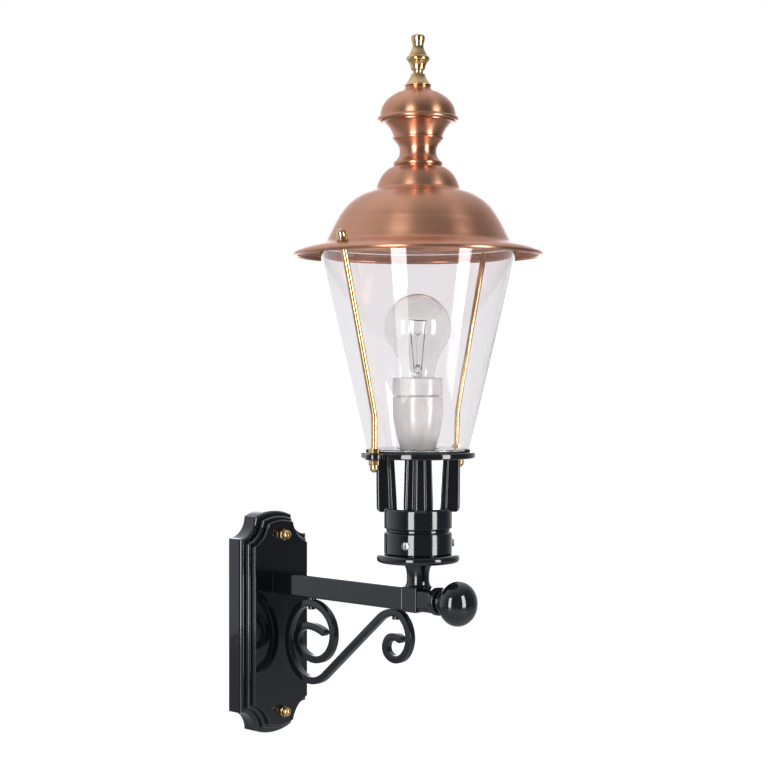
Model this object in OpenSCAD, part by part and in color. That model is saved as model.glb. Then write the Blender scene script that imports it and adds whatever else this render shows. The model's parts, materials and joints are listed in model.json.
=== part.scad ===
// Outdoor wall light: a glass lantern with a spun copper hood, standing on a square arm with a
// forged scroll brace and a moulded wall plate. All sizes are in millimetres.
// The origin is the centre of the wall plate's back, on the wall. +Z is up, the light stands out
// along -Y, and X = 0 is the middle plane of the bracket.

/* [Wall plate] */
// Width of the plate at the wall
plate_w = 88; // [84:1:104]
// Overall height of the plate, to the tops of its two arches
plate_h = 217; // [209:1:250]
// Depth of the plate, from the wall to its front panel
plate_t = 28; // [27:0.5:34]
// Radius of the hollow corner cut out of each corner
cove_r = 20; // [18:0.5:22]
// Rise of the arch between two corner cuts
arch_rise = 5; // [4:0.5:7]
// Thickness of the casting
plate_wall = 4; // [3:0.25:4.5]
// Radius of the large outer round of the moulding
bead_r = 4; // [3:0.25:4]
// Radius of the middle round of the moulding
ovolo_r = 2.5; // [2:0.25:2.5]
// Radius of the edge round of the front panel
panel_r = 1.2; // [0.8:0.1:1.5]
// Width of each flat ledge between two rounds
ledge_w = 1.15; // [1:0.05:1.3]

/* [Wall strap and its fixings] */
// Width of the steel strap in the hollow back
strap_w = 24; // [22:1:28]
// Thickness of the strap
strap_t = 3; // [2.5:0.25:4]
// How far the strap runs past the studs
strap_end = 9; // [8:0.5:10]
// Distance between the two studs
stud_pitch = 172; // [164:1:174]
// Diameter of each stud
stud_d = 6; // [5:0.5:6]
// Distance between the two holes for the wall screws
wall_hole_pitch = 120; // [110:1:130]
// Diameter of each hole for a wall screw
wall_hole_d = 6; // [5:0.5:8]
// Diameter of the hole where the mains cable comes in
entry_hole_d = 13; // [10:0.5:14]
// Distance of the cable hole below the centre
entry_drop = 38; // [36:1:42]

/* [Arm] */
// Height of the arm above the centre of the plate
arm_z = 40; // [38:0.5:46]
// Outer width of the square arm
arm_w = 21; // [20:0.5:22]
// Wall of the arm
arm_wall = 2; // [1.5:0.25:2.25]
// Radius of the long edges of the arm
arm_edge_r = 1.5; // [1:0.25:2]
// Distance of the lantern's axis from the wall
lamp_y = 206; // [200:1:230]
// Length of the threaded block inside the arm at the plate
block_l = 14; // [12:1:20]
// Diameter of the hollow threaded tube through the plate
nipple_d = 10; // [9.5:0.25:10.5]
// Bore of that tube
nipple_bore = 6.6; // [6.4:0.1:7]

/* [Scroll brace] */
// Side of the square bar
scroll_bar = 7; // [6:0.25:8]
// Chamfer on the bar's long edges
scroll_chamfer = 0.8; // [0.4:0.1:1.2]
// One unit of the scroll's runs and radii
scroll_unit = 1; // [0.95:0.05:1.05]
// Distance from the wall to the top of the large volute
scroll_y = 69.5; // [69:0.5:74]
// Height of the spacer between the arm and the large volute
spacer_h = 2.5; // [2:0.25:4]
// Diameter of the spacers
spacer_d = 9; // [8:0.5:10]
// Diameter of the screws that hold the scroll
scroll_screw_d = 4; // [3:0.5:4]

/* [Tee and dish] */
// Side of the square block on the end of the arm
tee_w = 22.6; // [22.5:0.1:25]
// Length of the block along the arm
tee_l = 20; // [19:0.5:24]
// Length of the plug that enters the arm
plug_l = 12; // [10:0.5:13]
// Diameter of the round stub beyond the block
stub_d = 21; // [19:0.5:22]
// Length of the stub
stub_l = 12; // [11:0.5:18]
// Diameter of the upright stem at its waist
stem_d = 18.5; // [17:0.5:20]
// Height of the dish's top above the middle of the arm
dish_up = 41; // [40:0.5:48]
// Diameter of the dish
dish_d = 75.5; // [72:0.5:84]
// Thickness of the dish at its rim
dish_t = 7.5; // [6:0.25:8]
// Diameter of the spigot that the lantern turns on
spigot_d = 54; // [52:0.5:54]
// Height of the spigot above the dish
spigot_h = 36; // [34:0.5:36.5]
// Bore of the tee for the wiring
wire_bore = 10; // [9:0.5:11]

/* [Arm finial] */
// Diameter of the ball
ball_d = 40; // [36:0.5:44]
// Length of the flattened ball along the arm
ball_l = 31; // [28:0.5:34]
// Diameter of the collar behind the ball
ball_collar_d = 25.4; // [24:0.2:28]
// Length of the collar behind the ball
ball_collar_l = 10; // [8:0.5:12]

/* [Lantern cage] */
// Outer diameter of the collar over the spigot
collar_d = 62; // [61:0.5:64]
// Height of the collar
collar_h = 41; // [41:0.5:46]
// Depth of the groove round the collar
collar_groove = 2; // [1.5:0.1:2.2]
// Height of the groove above the collar's foot
groove_up = 21; // [19:0.5:22]
// Height of the legs between the collar and the ring
leg_h = 45; // [40:0.5:60]
// Diameter of each half-round leg at its top
leg_d = 22; // [20:0.5:23]
// Distance of each leg's own axis from the lantern's axis, at its top
leg_r = 27.2; // [26.5:0.1:28]
// Lean of the legs towards the axis
leg_lean = 2.3; // [1.5:0.1:2.5]
// How far the legs lap down over the collar
leg_lap = 5.5; // [4:0.5:8]
// Diameter of the ring
ring_d = 104; // [102:0.5:108]
// Thickness of the ring
ring_t = 5.5; // [5:0.25:7]
// Diameter of the two lugs that take the rods
lug_d = 16; // [14:0.5:18]
// Diameter of the heads of the collar's screws
set_head_d = 7; // [6:0.5:8]
// Height of the collar's screws above the collar's foot
set_screw_up = 9; // [8:0.5:11]

/* [Glass] */
// Outer diameter of the glass at its foot
glass_foot_d = 93; // [91:0.5:95]
// Outer diameter of the glass at its top
glass_top_d = 179; // [175:0.5:181]
// Height of the glass
glass_h = 182; // [176:1:200]
// Thickness of the glass
glass_t = 2.5; // [2:0.25:3.5]
// Thickness of the rubber rings at the foot and the top of the glass
seal_t = 1.5; // [1:0.25:2]

/* [Rods] */
// Diameter of the two rods
rod_d = 5.6; // [5.2:0.1:6]
// Diameter of their threaded ends
rod_thread_d = 4.8; // [4.4:0.1:5]
// Distance of each rod's foot from the lantern's axis
rod_r = 57.5; // [57:0.25:59]
// Lean of the rods above the bend
rod_lean = 14.7; // [14.5:0.1:15.5]
// Height of the bend above the foot of the glass
rod_bend_up = 32; // [28:0.5:33]
// Radius of the bend, at the middle of the rod
rod_bend_r = 26; // [20:1:40]
// Width across the flats of the nuts on the rods
rod_nut_af = 9; // [8:0.5:10]

/* [Hood] */
// Diameter of the brim
brim_d = 225; // [218:1:236]
// Thickness of the spun copper
sheet_t = 1.2; // [1:0.1:1.5]
// Radius of the rolled edge
roll_r = 1.9; // [1.6:0.1:2.2]
// Drop of the brim's curved lip
lip_drop = 4.2; // [3.5:0.1:5]
// Diameter of the dome where it meets the brim
dome_d = 168; // [164:1:170]
// Diameter of the dome at its upper step
dome_top_d = 79; // [76:1:82]
// Height of the dome
dome_h = 47.5; // [42:0.5:52]
// Diameter of the upper tier's flat top
tier_top_d = 47; // [46:0.5:50]
// Height of the upper tier
tier_h = 21; // [18:0.5:24]

/* [Crown] */
// Diameter of the bead at the foot of the neck
neck_foot_d = 44.6; // [43:0.2:45.4]
// Diameter of the neck at its waist
neck_waist_d = 33.4; // [31:0.2:35]
// Diameter of the bead above the waist
neck_bead_d = 46; // [44:0.2:48]
// Height of the neck
neck_h = 41.3; // [39:0.1:46]
// Diameter of the neck's top flange
neck_top_d = 66; // [64:0.5:68]
// Diameter of the cap's rim
cap_d = 73.5; // [72:0.5:78]
// Height of the cap
cap_h = 31.5; // [28:0.5:36]
// Diameter of the cap's collar under the finial
cap_collar_d = 23.4; // [21:0.2:25]
// Height of the finial
finial_h = 46.5; // [42:0.5:52]
// Diameter of the finial's foot
finial_d = 24.6; // [24:0.2:28]
// Diameter of the threaded rod through the crown
crown_rod_d = 6; // [5:0.5:6]

/* [Lamp holder] */
// Diameter of the porcelain holder
holder_d = 45.8; // [44:0.2:48]
// Diameter of the holder's foot
holder_foot_d = 30.4; // [28:0.2:32]
// Height of the holder's body
holder_h = 50.6; // [49:0.2:54]
// Height of the porcelain ring on the body
holder_ring_h = 16; // [14:0.5:17]
// Inner diameter of the brass screw shell
shell_d = 27; // [26.8:0.1:27.4]
// Diameter of the holder's own hollow threaded tube
holder_tube_d = 10; // [9.5:0.25:10.5]

/* [Bulb] */
// Diameter of the bulb
bulb_d = 60; // [56:0.5:62]
// Height of the bulb's top above the holder's ring
bulb_up = 75.5; // [72:0.5:80]
// Diameter of the bulb's neck at the mouth of the holder
bulb_neck_d = 29; // [27:0.5:30]
// Thickness of the bulb's glass
bulb_t = 0.8; // [0.6:0.1:1.2]

/* [Fits] */
// Radial running clearance between the spigot and the collar
swivel_gap = 0.08; // [0.05:0.01:0.1]
// Gap under the turning collar, and at the tips of its screws
rest_gap = 0.3; // [0.25:0.05:0.4]
// Radial clearance round screws, studs and threaded tubes
thread_gap = 0.1; // [0.05:0.05:0.2]
// Radial clearance round the wiring
wire_gap = 0.4; // [0.3:0.1:0.5]

/* [Hidden] */
$fn = 96;
eps = 0.01;

// Colours
black = "#16181b";
copper = "#b87352";
brass = "#c9a24e";
steel = "#b9bcc0";
porcelain = "#efece4";
clear = "#dfe8ea";
rubber = "#202020";

// Steps of the moulding, from the outer round inwards: distance in from the outline, then depth
bead_y = plate_t - 10;
ovolo_in = bead_r + ledge_w;
ovolo_y = bead_y + 5;
panel_in = ovolo_in + ovolo_r + ledge_w;
mould_w = panel_in + panel_r;
shoulder_z = plate_h/2 - arch_rise - cove_r;
cove_z = shoulder_z + cove_r;
arch_half = plate_w/2 - cove_r;
arch_r = (arch_half*arch_half + arch_rise*arch_rise)/(2*arch_rise);
arch_z = plate_h/2 - arch_r;
pocket_step = bead_y - plate_wall;
pocket_floor = plate_t - plate_wall;

// Arm and what holds it
arm_foot = plate_t;
arm_tip = lamp_y - tee_l/2;
arm_under = arm_z - arm_w/2;
arm_bore = arm_w - 2*arm_wall;
fit_in_arm = 0.1;
nipple_back = 6;
arm_washer_t = 1.5;
arm_nut_h = 4;
arm_washer_d = 20;
arm_nut_af = 14;

// Scroll: each volute is a chain of arcs, as [radius in units, turn in degrees], from the middle
slope = 41;
big_run = 47*scroll_unit;
small_run = 46.8*scroll_unit;
big_steps = [
    [28, slope], [28, 45], [39, 45], [44, 45], [25, 45], [32, 45], [26, 45], [27, 45], [23, 45],
    [29, 45], [13, 45], [13, 45], [16, 45], [48, 25]
];
small_steps = [
    [30, slope], [14.5, 45], [25, 45], [23.5, 45], [14.5, 45], [13, 45], [9, 45], [10.5, 90],
    [17, 25]
];
big_arcs = [for (s = big_steps) [scroll_unit*s[0], s[1]]];
small_arcs = [for (s = small_steps) [scroll_unit*s[0], s[1]]];
big_top_arc = 5;
small_top_arc = 1;
scroll_head_d = 7;
scroll_head_h = 2.8;

// Heights of the lantern, from the arm upwards
dish_z = arm_z + dish_up;
collar_z = dish_z + rest_gap;
collar_top = collar_z + collar_h;
ring_z = collar_top + leg_h;
ring_top = ring_z + ring_t;
glass_z = ring_top + seal_t;
glass_top_z = glass_z + glass_h;
collar_bore = spigot_d/2 + swivel_gap;
cage_bore = 21;
set_turn = 81;
set_screw_d = 4;
set_seat_r = collar_d/2 - 0.4;
set_z = collar_z + set_screw_up;
spigot_groove = 2;
spigot_groove_w = 9;

// Glass and rods: the brim lies square to the leaning rods
glass_foot_r = glass_foot_d/2;
glass_top_r = glass_top_d/2;
glass_in = glass_t/cos(atan((glass_top_r - glass_foot_r)/glass_h));
lean_t = tan(rod_lean);
bend_z = glass_z + rod_bend_up;
seat_r = glass_top_r - glass_in/2;
seat_z = glass_top_z + seal_t;
rod_top_r = (rod_r + lean_t*(seat_z - bend_z) + lean_t*lean_t*seat_r)/(1 + lean_t*lean_t);
rod_top_z = seat_z - lean_t*(rod_top_r - seat_r);
rod_top_run = norm([rod_top_r - rod_r, rod_top_z - bend_z]);
rod_nut_h = 4.5;
rod_cap_h = 11;
rod_foot_end = 8;
rod_top_end = 7;

// Hood and crown: heights follow the brim
brim_r = brim_d/2;
brim_lip_r = brim_r - 9;
rim_z = rod_top_z - lean_t*(brim_lip_r - rod_top_r) - lip_drop;
brim_in_r = dome_d/2;
brim_in_z = rod_top_z + sheet_t/cos(rod_lean) + lean_t*(rod_top_r - brim_in_r);
dome_top_z = brim_in_z + dome_h;
tier_top_z = dome_top_z + tier_h;
neck_top_z = tier_top_z + neck_h;
cap_top_z = neck_top_z + cap_h;
finial_top_z = cap_top_z + finial_h;
crown_washer_t = 1.5;
crown_washer_d = 18;
crown_nut_h = 5;
cap_roll_r = 1.9;
finial_bore_h = 15;

// Lamp holder and bulb
body_z = ring_top;
body_top = body_z + holder_h;
holder_top = body_top + holder_ring_h;
socket_floor = body_z + 29;
chamber_z = body_z + 9;
chamber_r = 10.5;
shell_t = 0.6;
shell_h = 24;
bulb_foot_z = socket_floor + 4.2;
bulb_cap_h = 24;
bulb_cap_z = bulb_foot_z + 3;
bulb_cap_r = shell_d/2 - 0.3;
bulb_top_z = holder_top + bulb_up;
bulb_mid_z = bulb_top_z - bulb_d/2;
seam_h = 0.9;

// Wiring
wire_r = nipple_bore/2 - wire_gap;
block_y = 12;
block_h = 21;
block_w = 27;
block_z = -9;
wire_y = strap_t + block_y/2;
wire_bend = 8;

// Nuts, studs and screws
cap_af = 10;
cap_h_total = 11;
cap_hex_h = 4.5;
cap_depth = 7.5;
terminal_pitch = 8;
terminal_screw_d = 3.4;
fixing_d = 3;
earth_d = 4;
earth_z = 18;

// Tee casting and the ball's threaded end
tee_screw_d = 5;
tee_screw_y = arm_tip - plug_l/2;
stem_foot_z = arm_z + tee_w/2;
stem_flare = 2;
stem_foot_t = 0.5;
stem_root = 4;
stem_neck = 12;
dish_edge_r = 0.45*dish_t;
dish_under = dish_z - dish_t;
neck_join_r = 13.5;
stub_end = lamp_y + tee_l/2 + stub_l;
finial_thread_d = 8;
finial_thread_l = 10;

// Inside the holder and the bulb
terminal_r = 7;
stem_top = bulb_mid_z - 9;
filament_half = 11;
filament_z = bulb_mid_z + 6;
lead_d = 0.8;
lead_foot = 3.8;

// Points on an arc, from angle a0 to angle a1
function arc(cx, cy, r, a0, a1, n = 8) =
    [for (i = [0:n]) let (a = a0 + (a1 - a0)*i/n) [cx + r*cos(a), cy + r*sin(a)]];

// Points on a cubic curve that leaves p0 towards c0 and reaches p1 from c1
function curve(p0, c0, c1, p1, n = 10) =
    [for (i = [0:n]) let (t = i/n, u = 1 - t)
        u*u*u*p0 + 3*u*u*t*c0 + 3*u*t*t*c1 + t*t*t*p1];

function backwards(p) = [for (i = [len(p) - 1:-1:0]) p[i]];

// The other side of a sheet of thickness t whose face follows the points p
function other_side(p, t) =
    [for (i = [0:len(p) - 1])
        let (d = p[min(i + 1, len(p) - 1)] - p[max(i - 1, 0)])
        p[i] + t*[d.y, -d.x]/norm(d)];

function sheet(p, t) = concat(p, backwards(other_side(p, t)));

// Pose [y, z, heading] at the end of an arc that turns left by t with radius r
function after_arc(p, r, t) =
    [p.x + r*(sin(p[2] + t) - sin(p[2])), p.y + r*(cos(p[2]) - cos(p[2] + t)), p[2] + t];

function after_arcs(p, arcs, n) =
    n == 0 ? p : after_arc(after_arcs(p, arcs, n - 1), arcs[n - 1][0], arcs[n - 1][1]);

function after_run(p, l) = [p.x + l*cos(p[2]), p.y + l*sin(p[2]), p[2]];

// Scroll in its own plane: first coordinate away from the lantern, second upwards
big_start = after_run([0, 0, -slope], big_run);
small_start = after_run([0, 0, 180 - slope], small_run);
big_top = after_arcs(big_start, big_arcs, big_top_arc);
small_top = after_arcs(small_start, small_arcs, small_top_arc);
scroll_at = [-scroll_y - big_top.x, arm_under - spacer_h - scroll_bar/2 - big_top.y];
small_gap = arm_under - (scroll_at.y + small_top.y + scroll_bar/2);

module at_lamp(z = 0) {
    translate([0, -lamp_y, z]) children();
}

module towards_lamp(y, z) {
    translate([0, -y, z]) rotate([90, 0, 0]) children();
}

module ring(d, bore, h) {
    difference() {
        cylinder(h = h, d = d);
        translate([0, 0, -1]) cylinder(h = h + 2, d = bore);
    }
}

module hex(af, h) {
    cylinder(h = h, d = af/cos(30), $fn = 6);
}

module hex_nut(af, h, bore) {
    difference() {
        hex(af, h);
        translate([0, 0, -1]) cylinder(h = h + 2, d = bore);
    }
}

// Domed nut: a hexagon with a round cap and a blind threaded hole
module cap_nut(af, h, hex_h, bore, depth) {
    cap_r = 0.46*af;
    difference() {
        union() {
            hex(af, hex_h);
            rotate_extrude()
                intersection() {
                    union() {
                        translate([0, hex_h - eps]) square([cap_r, h - cap_r - hex_h + eps]);
                        translate([0, h - cap_r]) circle(r = cap_r);
                    }
                    square([af, h]);
                }
        }
        translate([0, 0, -1]) cylinder(h = depth + 1, d = bore);
    }
}

// Slotted screw: head above z = 0, shank below it
module slotted_screw(head_d, head_h, d, l) {
    difference() {
        cylinder(h = head_h, d = head_d);
        translate([-head_d, -0.6, 0.55*head_h]) cube([2*head_d, 1.2, head_h]);
    }
    translate([0, 0, -l]) cylinder(h = l + eps, d = d);
}

// What a round of radius r takes off the corner at [x, y]; sx and sy point out of the corner
module off_corner(x, y, r, sx, sy) {
    difference() {
        translate([x - (sx > 0 ? r : 1), y - (sy > 0 ? r : 1)]) square(r + 1);
        translate([x - sx*r, y - sy*r]) circle(r = r);
    }
}

// Outline of the wall plate, moved in by d from its true edge
module plate_outline(d) {
    difference() {
        square([plate_w - 2*d, plate_h], center = true);
        for (side = [-1, 1])
            difference() {
                translate([0, side*(arch_z + plate_h/2)])
                    square([plate_w + 2, plate_h], center = true);
                translate([0, side*arch_z]) circle(r = arch_r - d);
            }
        for (sx = [-1, 1], sy = [-1, 1])
            translate([sx*plate_w/2, sy*cove_z]) circle(r = cove_r + d);
    }
}

// Section of the moulding: x is the distance in from the outline, y the depth off the wall
module mould_section(far) {
    difference() {
        translate([0, -1]) square([far, plate_t + 1]);
        translate([-1, bead_y]) square([ovolo_in + 1, plate_t]);
        translate([-1, ovolo_y]) square([panel_in + 1, plate_t]);
        off_corner(0, bead_y, bead_r, -1, 1);
        off_corner(ovolo_in, ovolo_y, ovolo_r, -1, 1);
        off_corner(panel_in, plate_t, panel_r, -1, 1);
    }
}

// What the moulding leaves open round one arch, beyond the arch's own centre
module arch_cut(side) {
    translate([0, 0, side*arch_z])
        difference() {
            translate([-plate_w/2 - 1, -1, side > 0 ? 0 : -plate_h])
                cube([plate_w + 2, plate_t + 2, plate_h]);
            rotate([-90, 0, 0])
                rotate_extrude()
                    intersection() {
                        translate([arch_r, 0]) mirror([1, 0]) mould_section(arch_r + 1);
                        translate([0, -2]) square([arch_r + 1, plate_t + 4]);
                    }
        }
}

// What the moulding leaves open round one hollow corner
module cove_cut() {
    rotate([-90, 0, 0])
        rotate_extrude()
            difference() {
                translate([0, -1]) square([cove_r + mould_w + 6, plate_t + 2]);
                translate([cove_r, 0]) mould_section(mould_w + 8);
            }
}

module wall_plate() color(black) mirror([0, 1, 0])
    difference() {
        translate([0, 0, -plate_h/2])
            linear_extrude(plate_h)
                intersection() {
                    translate([-plate_w/2, 0]) mould_section(plate_w);
                    translate([plate_w/2, 0]) mirror([1, 0]) mould_section(plate_w);
                    translate([-plate_w/2, 0]) square([plate_w, plate_t]);
                }
        arch_cut(1);
        arch_cut(-1);
        for (sx = [-1, 1], sz = [-1, 1])
            translate([sx*plate_w/2, 0, sz*cove_z]) cove_cut();
        translate([0, pocket_step, 0]) rotate([90, 0, 0])
            linear_extrude(pocket_step + 1) plate_outline(plate_wall);
        translate([0, pocket_floor, 0]) rotate([90, 0, 0])
            linear_extrude(pocket_floor) plate_outline(mould_w + plate_wall);
        for (z = [-stud_pitch/2, stud_pitch/2])
            translate([0, plate_t + 1, z]) rotate([90, 0, 0])
                cylinder(h = plate_t, d = stud_d + 2*thread_gap);
        translate([0, plate_t + 1, arm_z]) rotate([90, 0, 0])
            cylinder(h = plate_t, d = nipple_d + 2*thread_gap);
    }

module mounting_strap() color(steel) {
    strap_l = stud_pitch + 2*strap_end;
    difference() {
        translate([0, 0, 0]) rotate([90, 0, 0])
            linear_extrude(strap_t)
                intersection() {
                    square([strap_w, strap_l], center = true);
                    circle(d = strap_l);
                }
        for (z = [-stud_pitch/2, stud_pitch/2])
            towards_lamp(-1, z) cylinder(h = strap_t + 2, d = stud_d);
        for (z = [-wall_hole_pitch/2, wall_hole_pitch/2])
            towards_lamp(-1, z) cylinder(h = strap_t + 2, d = wall_hole_d);
        towards_lamp(-1, -entry_drop) cylinder(h = strap_t + 2, d = entry_hole_d);
        towards_lamp(-1, earth_z) cylinder(h = strap_t + 2, d = earth_d);
        towards_lamp(-1, block_z) cylinder(h = strap_t + 2, d = fixing_d);
    }
}

module plate_studs() color(steel)
    for (z = [-stud_pitch/2, stud_pitch/2])
        towards_lamp(0, z) cylinder(h = plate_t + cap_depth - 1, d = stud_d);

module plate_cap_nuts() color(brass)
    for (z = [-stud_pitch/2, stud_pitch/2])
        towards_lamp(plate_t, z)
            cap_nut(cap_af, cap_h_total, cap_hex_h, stud_d + 2*thread_gap, cap_depth);

// Square with rounded corners
module round_square(w, r) {
    difference() {
        square(w, center = true);
        for (sx = [-1, 1], sy = [-1, 1]) off_corner(sx*w/2, sy*w/2, r, sx, sy);
    }
}

module arm() color(black)
    difference() {
        towards_lamp(arm_foot, arm_z)
            linear_extrude(arm_tip - arm_foot)
                difference() {
                    round_square(arm_w, arm_edge_r);
                    square(arm_bore, center = true);
                }
        for (y = [scroll_y, -scroll_at.x - small_top.x])
            translate([0, -y, arm_under - 1])
                cylinder(h = arm_wall + 2, d = scroll_screw_d);
        translate([0, -tee_screw_y, arm_under - 1])
            cylinder(h = arm_wall + 2, d = tee_screw_d);
    }

module arm_end_block() color(steel)
    difference() {
        towards_lamp(arm_foot, arm_z)
            linear_extrude(block_l)
                square(arm_bore - 2*fit_in_arm, center = true);
        towards_lamp(arm_foot - 1, arm_z)
            cylinder(h = block_l + 2, d = nipple_d + 2*thread_gap);
    }

module arm_tube_nipple() color(steel)
    towards_lamp(pocket_floor - nipple_back, arm_z)
        ring(nipple_d, nipple_bore, nipple_back + plate_wall + block_l - 2);

module arm_washer() color(steel)
    towards_lamp(pocket_floor - arm_washer_t, arm_z)
        ring(arm_washer_d, nipple_d + 2*thread_gap, arm_washer_t);

module arm_nut() color(steel)
    towards_lamp(pocket_floor - arm_washer_t - arm_nut_h, arm_z)
        hex_nut(arm_nut_af, arm_nut_h, nipple_d + 2*thread_gap);

// Terminal block, with its two rows of screws and the wiring at its upper side

module terminal_block() color(porcelain)
    difference() {
        translate([-block_w/2, -strap_t - block_y, block_z - block_h/2])
            cube([block_w, block_y, block_h]);
        for (x = [-1, 0, 1], z = [-1, 1])
            translate([x*terminal_pitch, -strap_t - block_y - 1, block_z + z*block_h/3.4])
                rotate([-90, 0, 0])
                    cylinder(h = 6, d = terminal_screw_d + 2*thread_gap);
        for (x = [-1, 1])
            translate([x*terminal_pitch/2, -strap_t - block_y - 1, block_z - block_h/2 - 1])
                cube([1, 3, block_h + 2]);
        towards_lamp(strap_t - 1, block_z)
            cylinder(h = block_y + 2, d = fixing_d + 2*thread_gap);
    }

module terminal_screws() color(brass)
    for (x = [-1, 0, 1], z = [-1, 1])
        translate([x*terminal_pitch, -strap_t - block_y + 1, block_z + z*block_h/3.4])
            rotate([90, 0, 0]) slotted_screw(terminal_screw_d, 0.8, terminal_screw_d - 0.6, 4);

module terminal_fixing_screw() color(steel)
    translate([0, -strap_t - block_y, block_z]) rotate([90, 0, 0])
        slotted_screw(5.5, 1.6, fixing_d, block_y + strap_t - 0.5);

module earth_screw() color(brass)
    translate([0, -strap_t, earth_z]) rotate([90, 0, 0])
        slotted_screw(7.5, 2, earth_d, strap_t - 0.3);

// Skin over a row of rings, each a list of points in the same order, closed at both ends
module skin(rings) {
    n = len(rings[0]);
    m = len(rings);
    polyhedron(
        points = [for (r = rings) each r],
        faces = concat(
            [[for (i = [0:n - 1]) i]],
            [[for (i = [n - 1:-1:0]) (m - 1)*n + i]],
            [for (j = [0:m - 2], i = [0:n - 1])
                [j*n + i, (j + 1)*n + i, (j + 1)*n + (i + 1)%n, j*n + (i + 1)%n]]));
}

// Poses along a chain of arcs, about one every `step` degrees
function along(start, arcs, step) =
    [for (i = [0:len(arcs) - 1])
        let (p = after_arcs(start, arcs, i), n = ceil(arcs[i][1]/step))
        for (k = [1:n]) after_arc(p, arcs[i][0], arcs[i][1]*k/n)];

// The bar's rounded end: poses with a shrinking share of the full width
function tip(p) = [for (a = [25, 50, 72]) [after_run(p, scroll_bar/2*sin(a)), cos(a)]];

// The bar's section at a pose, w times its full width: a square with its edges taken off
function bar_ring(p, w) =
    let (h = scroll_bar/2, c = h - scroll_chamfer)
    [for (q = [[h, -c], [h, c], [c, h], [-c, h], [-h, c], [-h, -c], [-c, -h], [c, -h]])
        [q.y, scroll_at.x + p.x - w*q.x*sin(p[2]), scroll_at.y + p.y + w*q.x*cos(p[2])]];

module scroll_bar_solid() {
    big = concat([big_start], along(big_start, big_arcs, 7.5));
    small = concat([small_start], along(small_start, small_arcs, 7.5));
    skin(concat(
        backwards([for (t = tip(small[len(small) - 1])) bar_ring(t[0], -t[1])]),
        backwards([for (p = small) bar_ring(p, -1)]),
        [for (p = big) bar_ring(p, 1)],
        [for (t = tip(big[len(big) - 1])) bar_ring(t[0], t[1])]));
}

// Each screw has a clear hole in the bar and a flat seat for its head
module scroll() color(black)
    difference() {
        scroll_bar_solid();
        for (seat = [[-scroll_y, spacer_h], [scroll_at.x + small_top.x, small_gap]])
            translate([0, seat.x, arm_under - seat.y - scroll_bar]) {
                translate([0, 0, -3])
                    cylinder(h = scroll_bar + 5, d = scroll_screw_d + 2*thread_gap);
                translate([0, 0, -3]) cylinder(h = 3, d = scroll_head_d + 0.6);
            }
    }

module scroll_spacers() color(black) {
    translate([0, -scroll_y, arm_under - spacer_h])
        ring(spacer_d, scroll_screw_d + 2*thread_gap, spacer_h);
    translate([0, scroll_at.x + small_top.x, arm_under - small_gap])
        ring(spacer_d, scroll_screw_d + 2*thread_gap, small_gap);
}

module scroll_screws() color(steel) {
    translate([0, -scroll_y, arm_under - spacer_h - scroll_bar]) rotate([180, 0, 0])
        slotted_screw(scroll_head_d, scroll_head_h, scroll_screw_d, scroll_bar + spacer_h + arm_wall);
    translate([0, scroll_at.x + small_top.x, arm_under - small_gap - scroll_bar])
        rotate([180, 0, 0])
            slotted_screw(scroll_head_d, scroll_head_h, scroll_screw_d,
                scroll_bar + small_gap + arm_wall);
}

// Tee: plug, block, stub, stem, dish and spigot in one casting

module stem_section() {
    r = stem_d/2;
    rim = dish_d/2;
    foot = arc(r + stem_flare, stem_foot_z + stem_foot_t + stem_flare, stem_flare, 270, 180, 6);
    top = curve([r, dish_under - stem_neck], [r, dish_under - stem_neck/2], [r + 1, dish_under - 3],
        [neck_join_r, dish_under - 2], 8);
    difference() {
        polygon(concat([[0, stem_foot_z - stem_root], [r - 1, stem_foot_z - stem_root],
            [r - 1, stem_foot_z], [r + stem_flare, stem_foot_z]], foot, top,
            [[neck_join_r + 10, dish_under], [rim, dish_under], [rim, dish_z], [0, dish_z]]));
        off_corner(rim, dish_z, dish_edge_r, 1, 1);
        off_corner(rim, dish_under, dish_edge_r, 1, -1);
    }
}

module spigot_section() {
    r = spigot_d/2;
    g = set_z;
    polygon([[0, dish_z - 1], [r, dish_z - 1], [r, g - spigot_groove_w/2],
        [r - spigot_groove, g - spigot_groove_w/2 + spigot_groove],
        [r - spigot_groove, g + spigot_groove_w/2 - spigot_groove],
        [r, g + spigot_groove_w/2], [r, dish_z + spigot_h - 1], [r - 1, dish_z + spigot_h],
        [0, dish_z + spigot_h]]);
}

module tee() color(black)
    difference() {
        union() {
            towards_lamp(arm_tip, arm_z) linear_extrude(tee_l) round_square(tee_w, arm_edge_r);
            towards_lamp(arm_tip - plug_l, arm_z)
                linear_extrude(plug_l + 1) square(arm_bore - 2*fit_in_arm, center = true);
            towards_lamp(arm_tip + tee_l - 1, arm_z) cylinder(h = stub_l + 1, d = stub_d);
            at_lamp() rotate_extrude() stem_section();
            at_lamp() rotate_extrude() spigot_section();
        }
        towards_lamp(arm_tip - plug_l - 1, arm_z) cylinder(h = plug_l + 1 + tee_l/2, d = wire_bore);
        at_lamp(arm_z) cylinder(h = dish_up + spigot_h + 1, d = wire_bore);
        towards_lamp(stub_end - finial_thread_l - 1, arm_z)
            cylinder(h = finial_thread_l + 2, d = finial_thread_d + 2*thread_gap);
        translate([0, -tee_screw_y, arm_under - 1])
            cylinder(h = arm_wall + 4, d = tee_screw_d);
    }

module tee_screw() color(steel)
    translate([0, -tee_screw_y, arm_under + 0.2])
        difference() {
            cylinder(h = arm_wall + 2.5, d = tee_screw_d - 2*thread_gap);
            translate([0, 0, -1]) hex(2.5, 2.8);
        }

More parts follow.
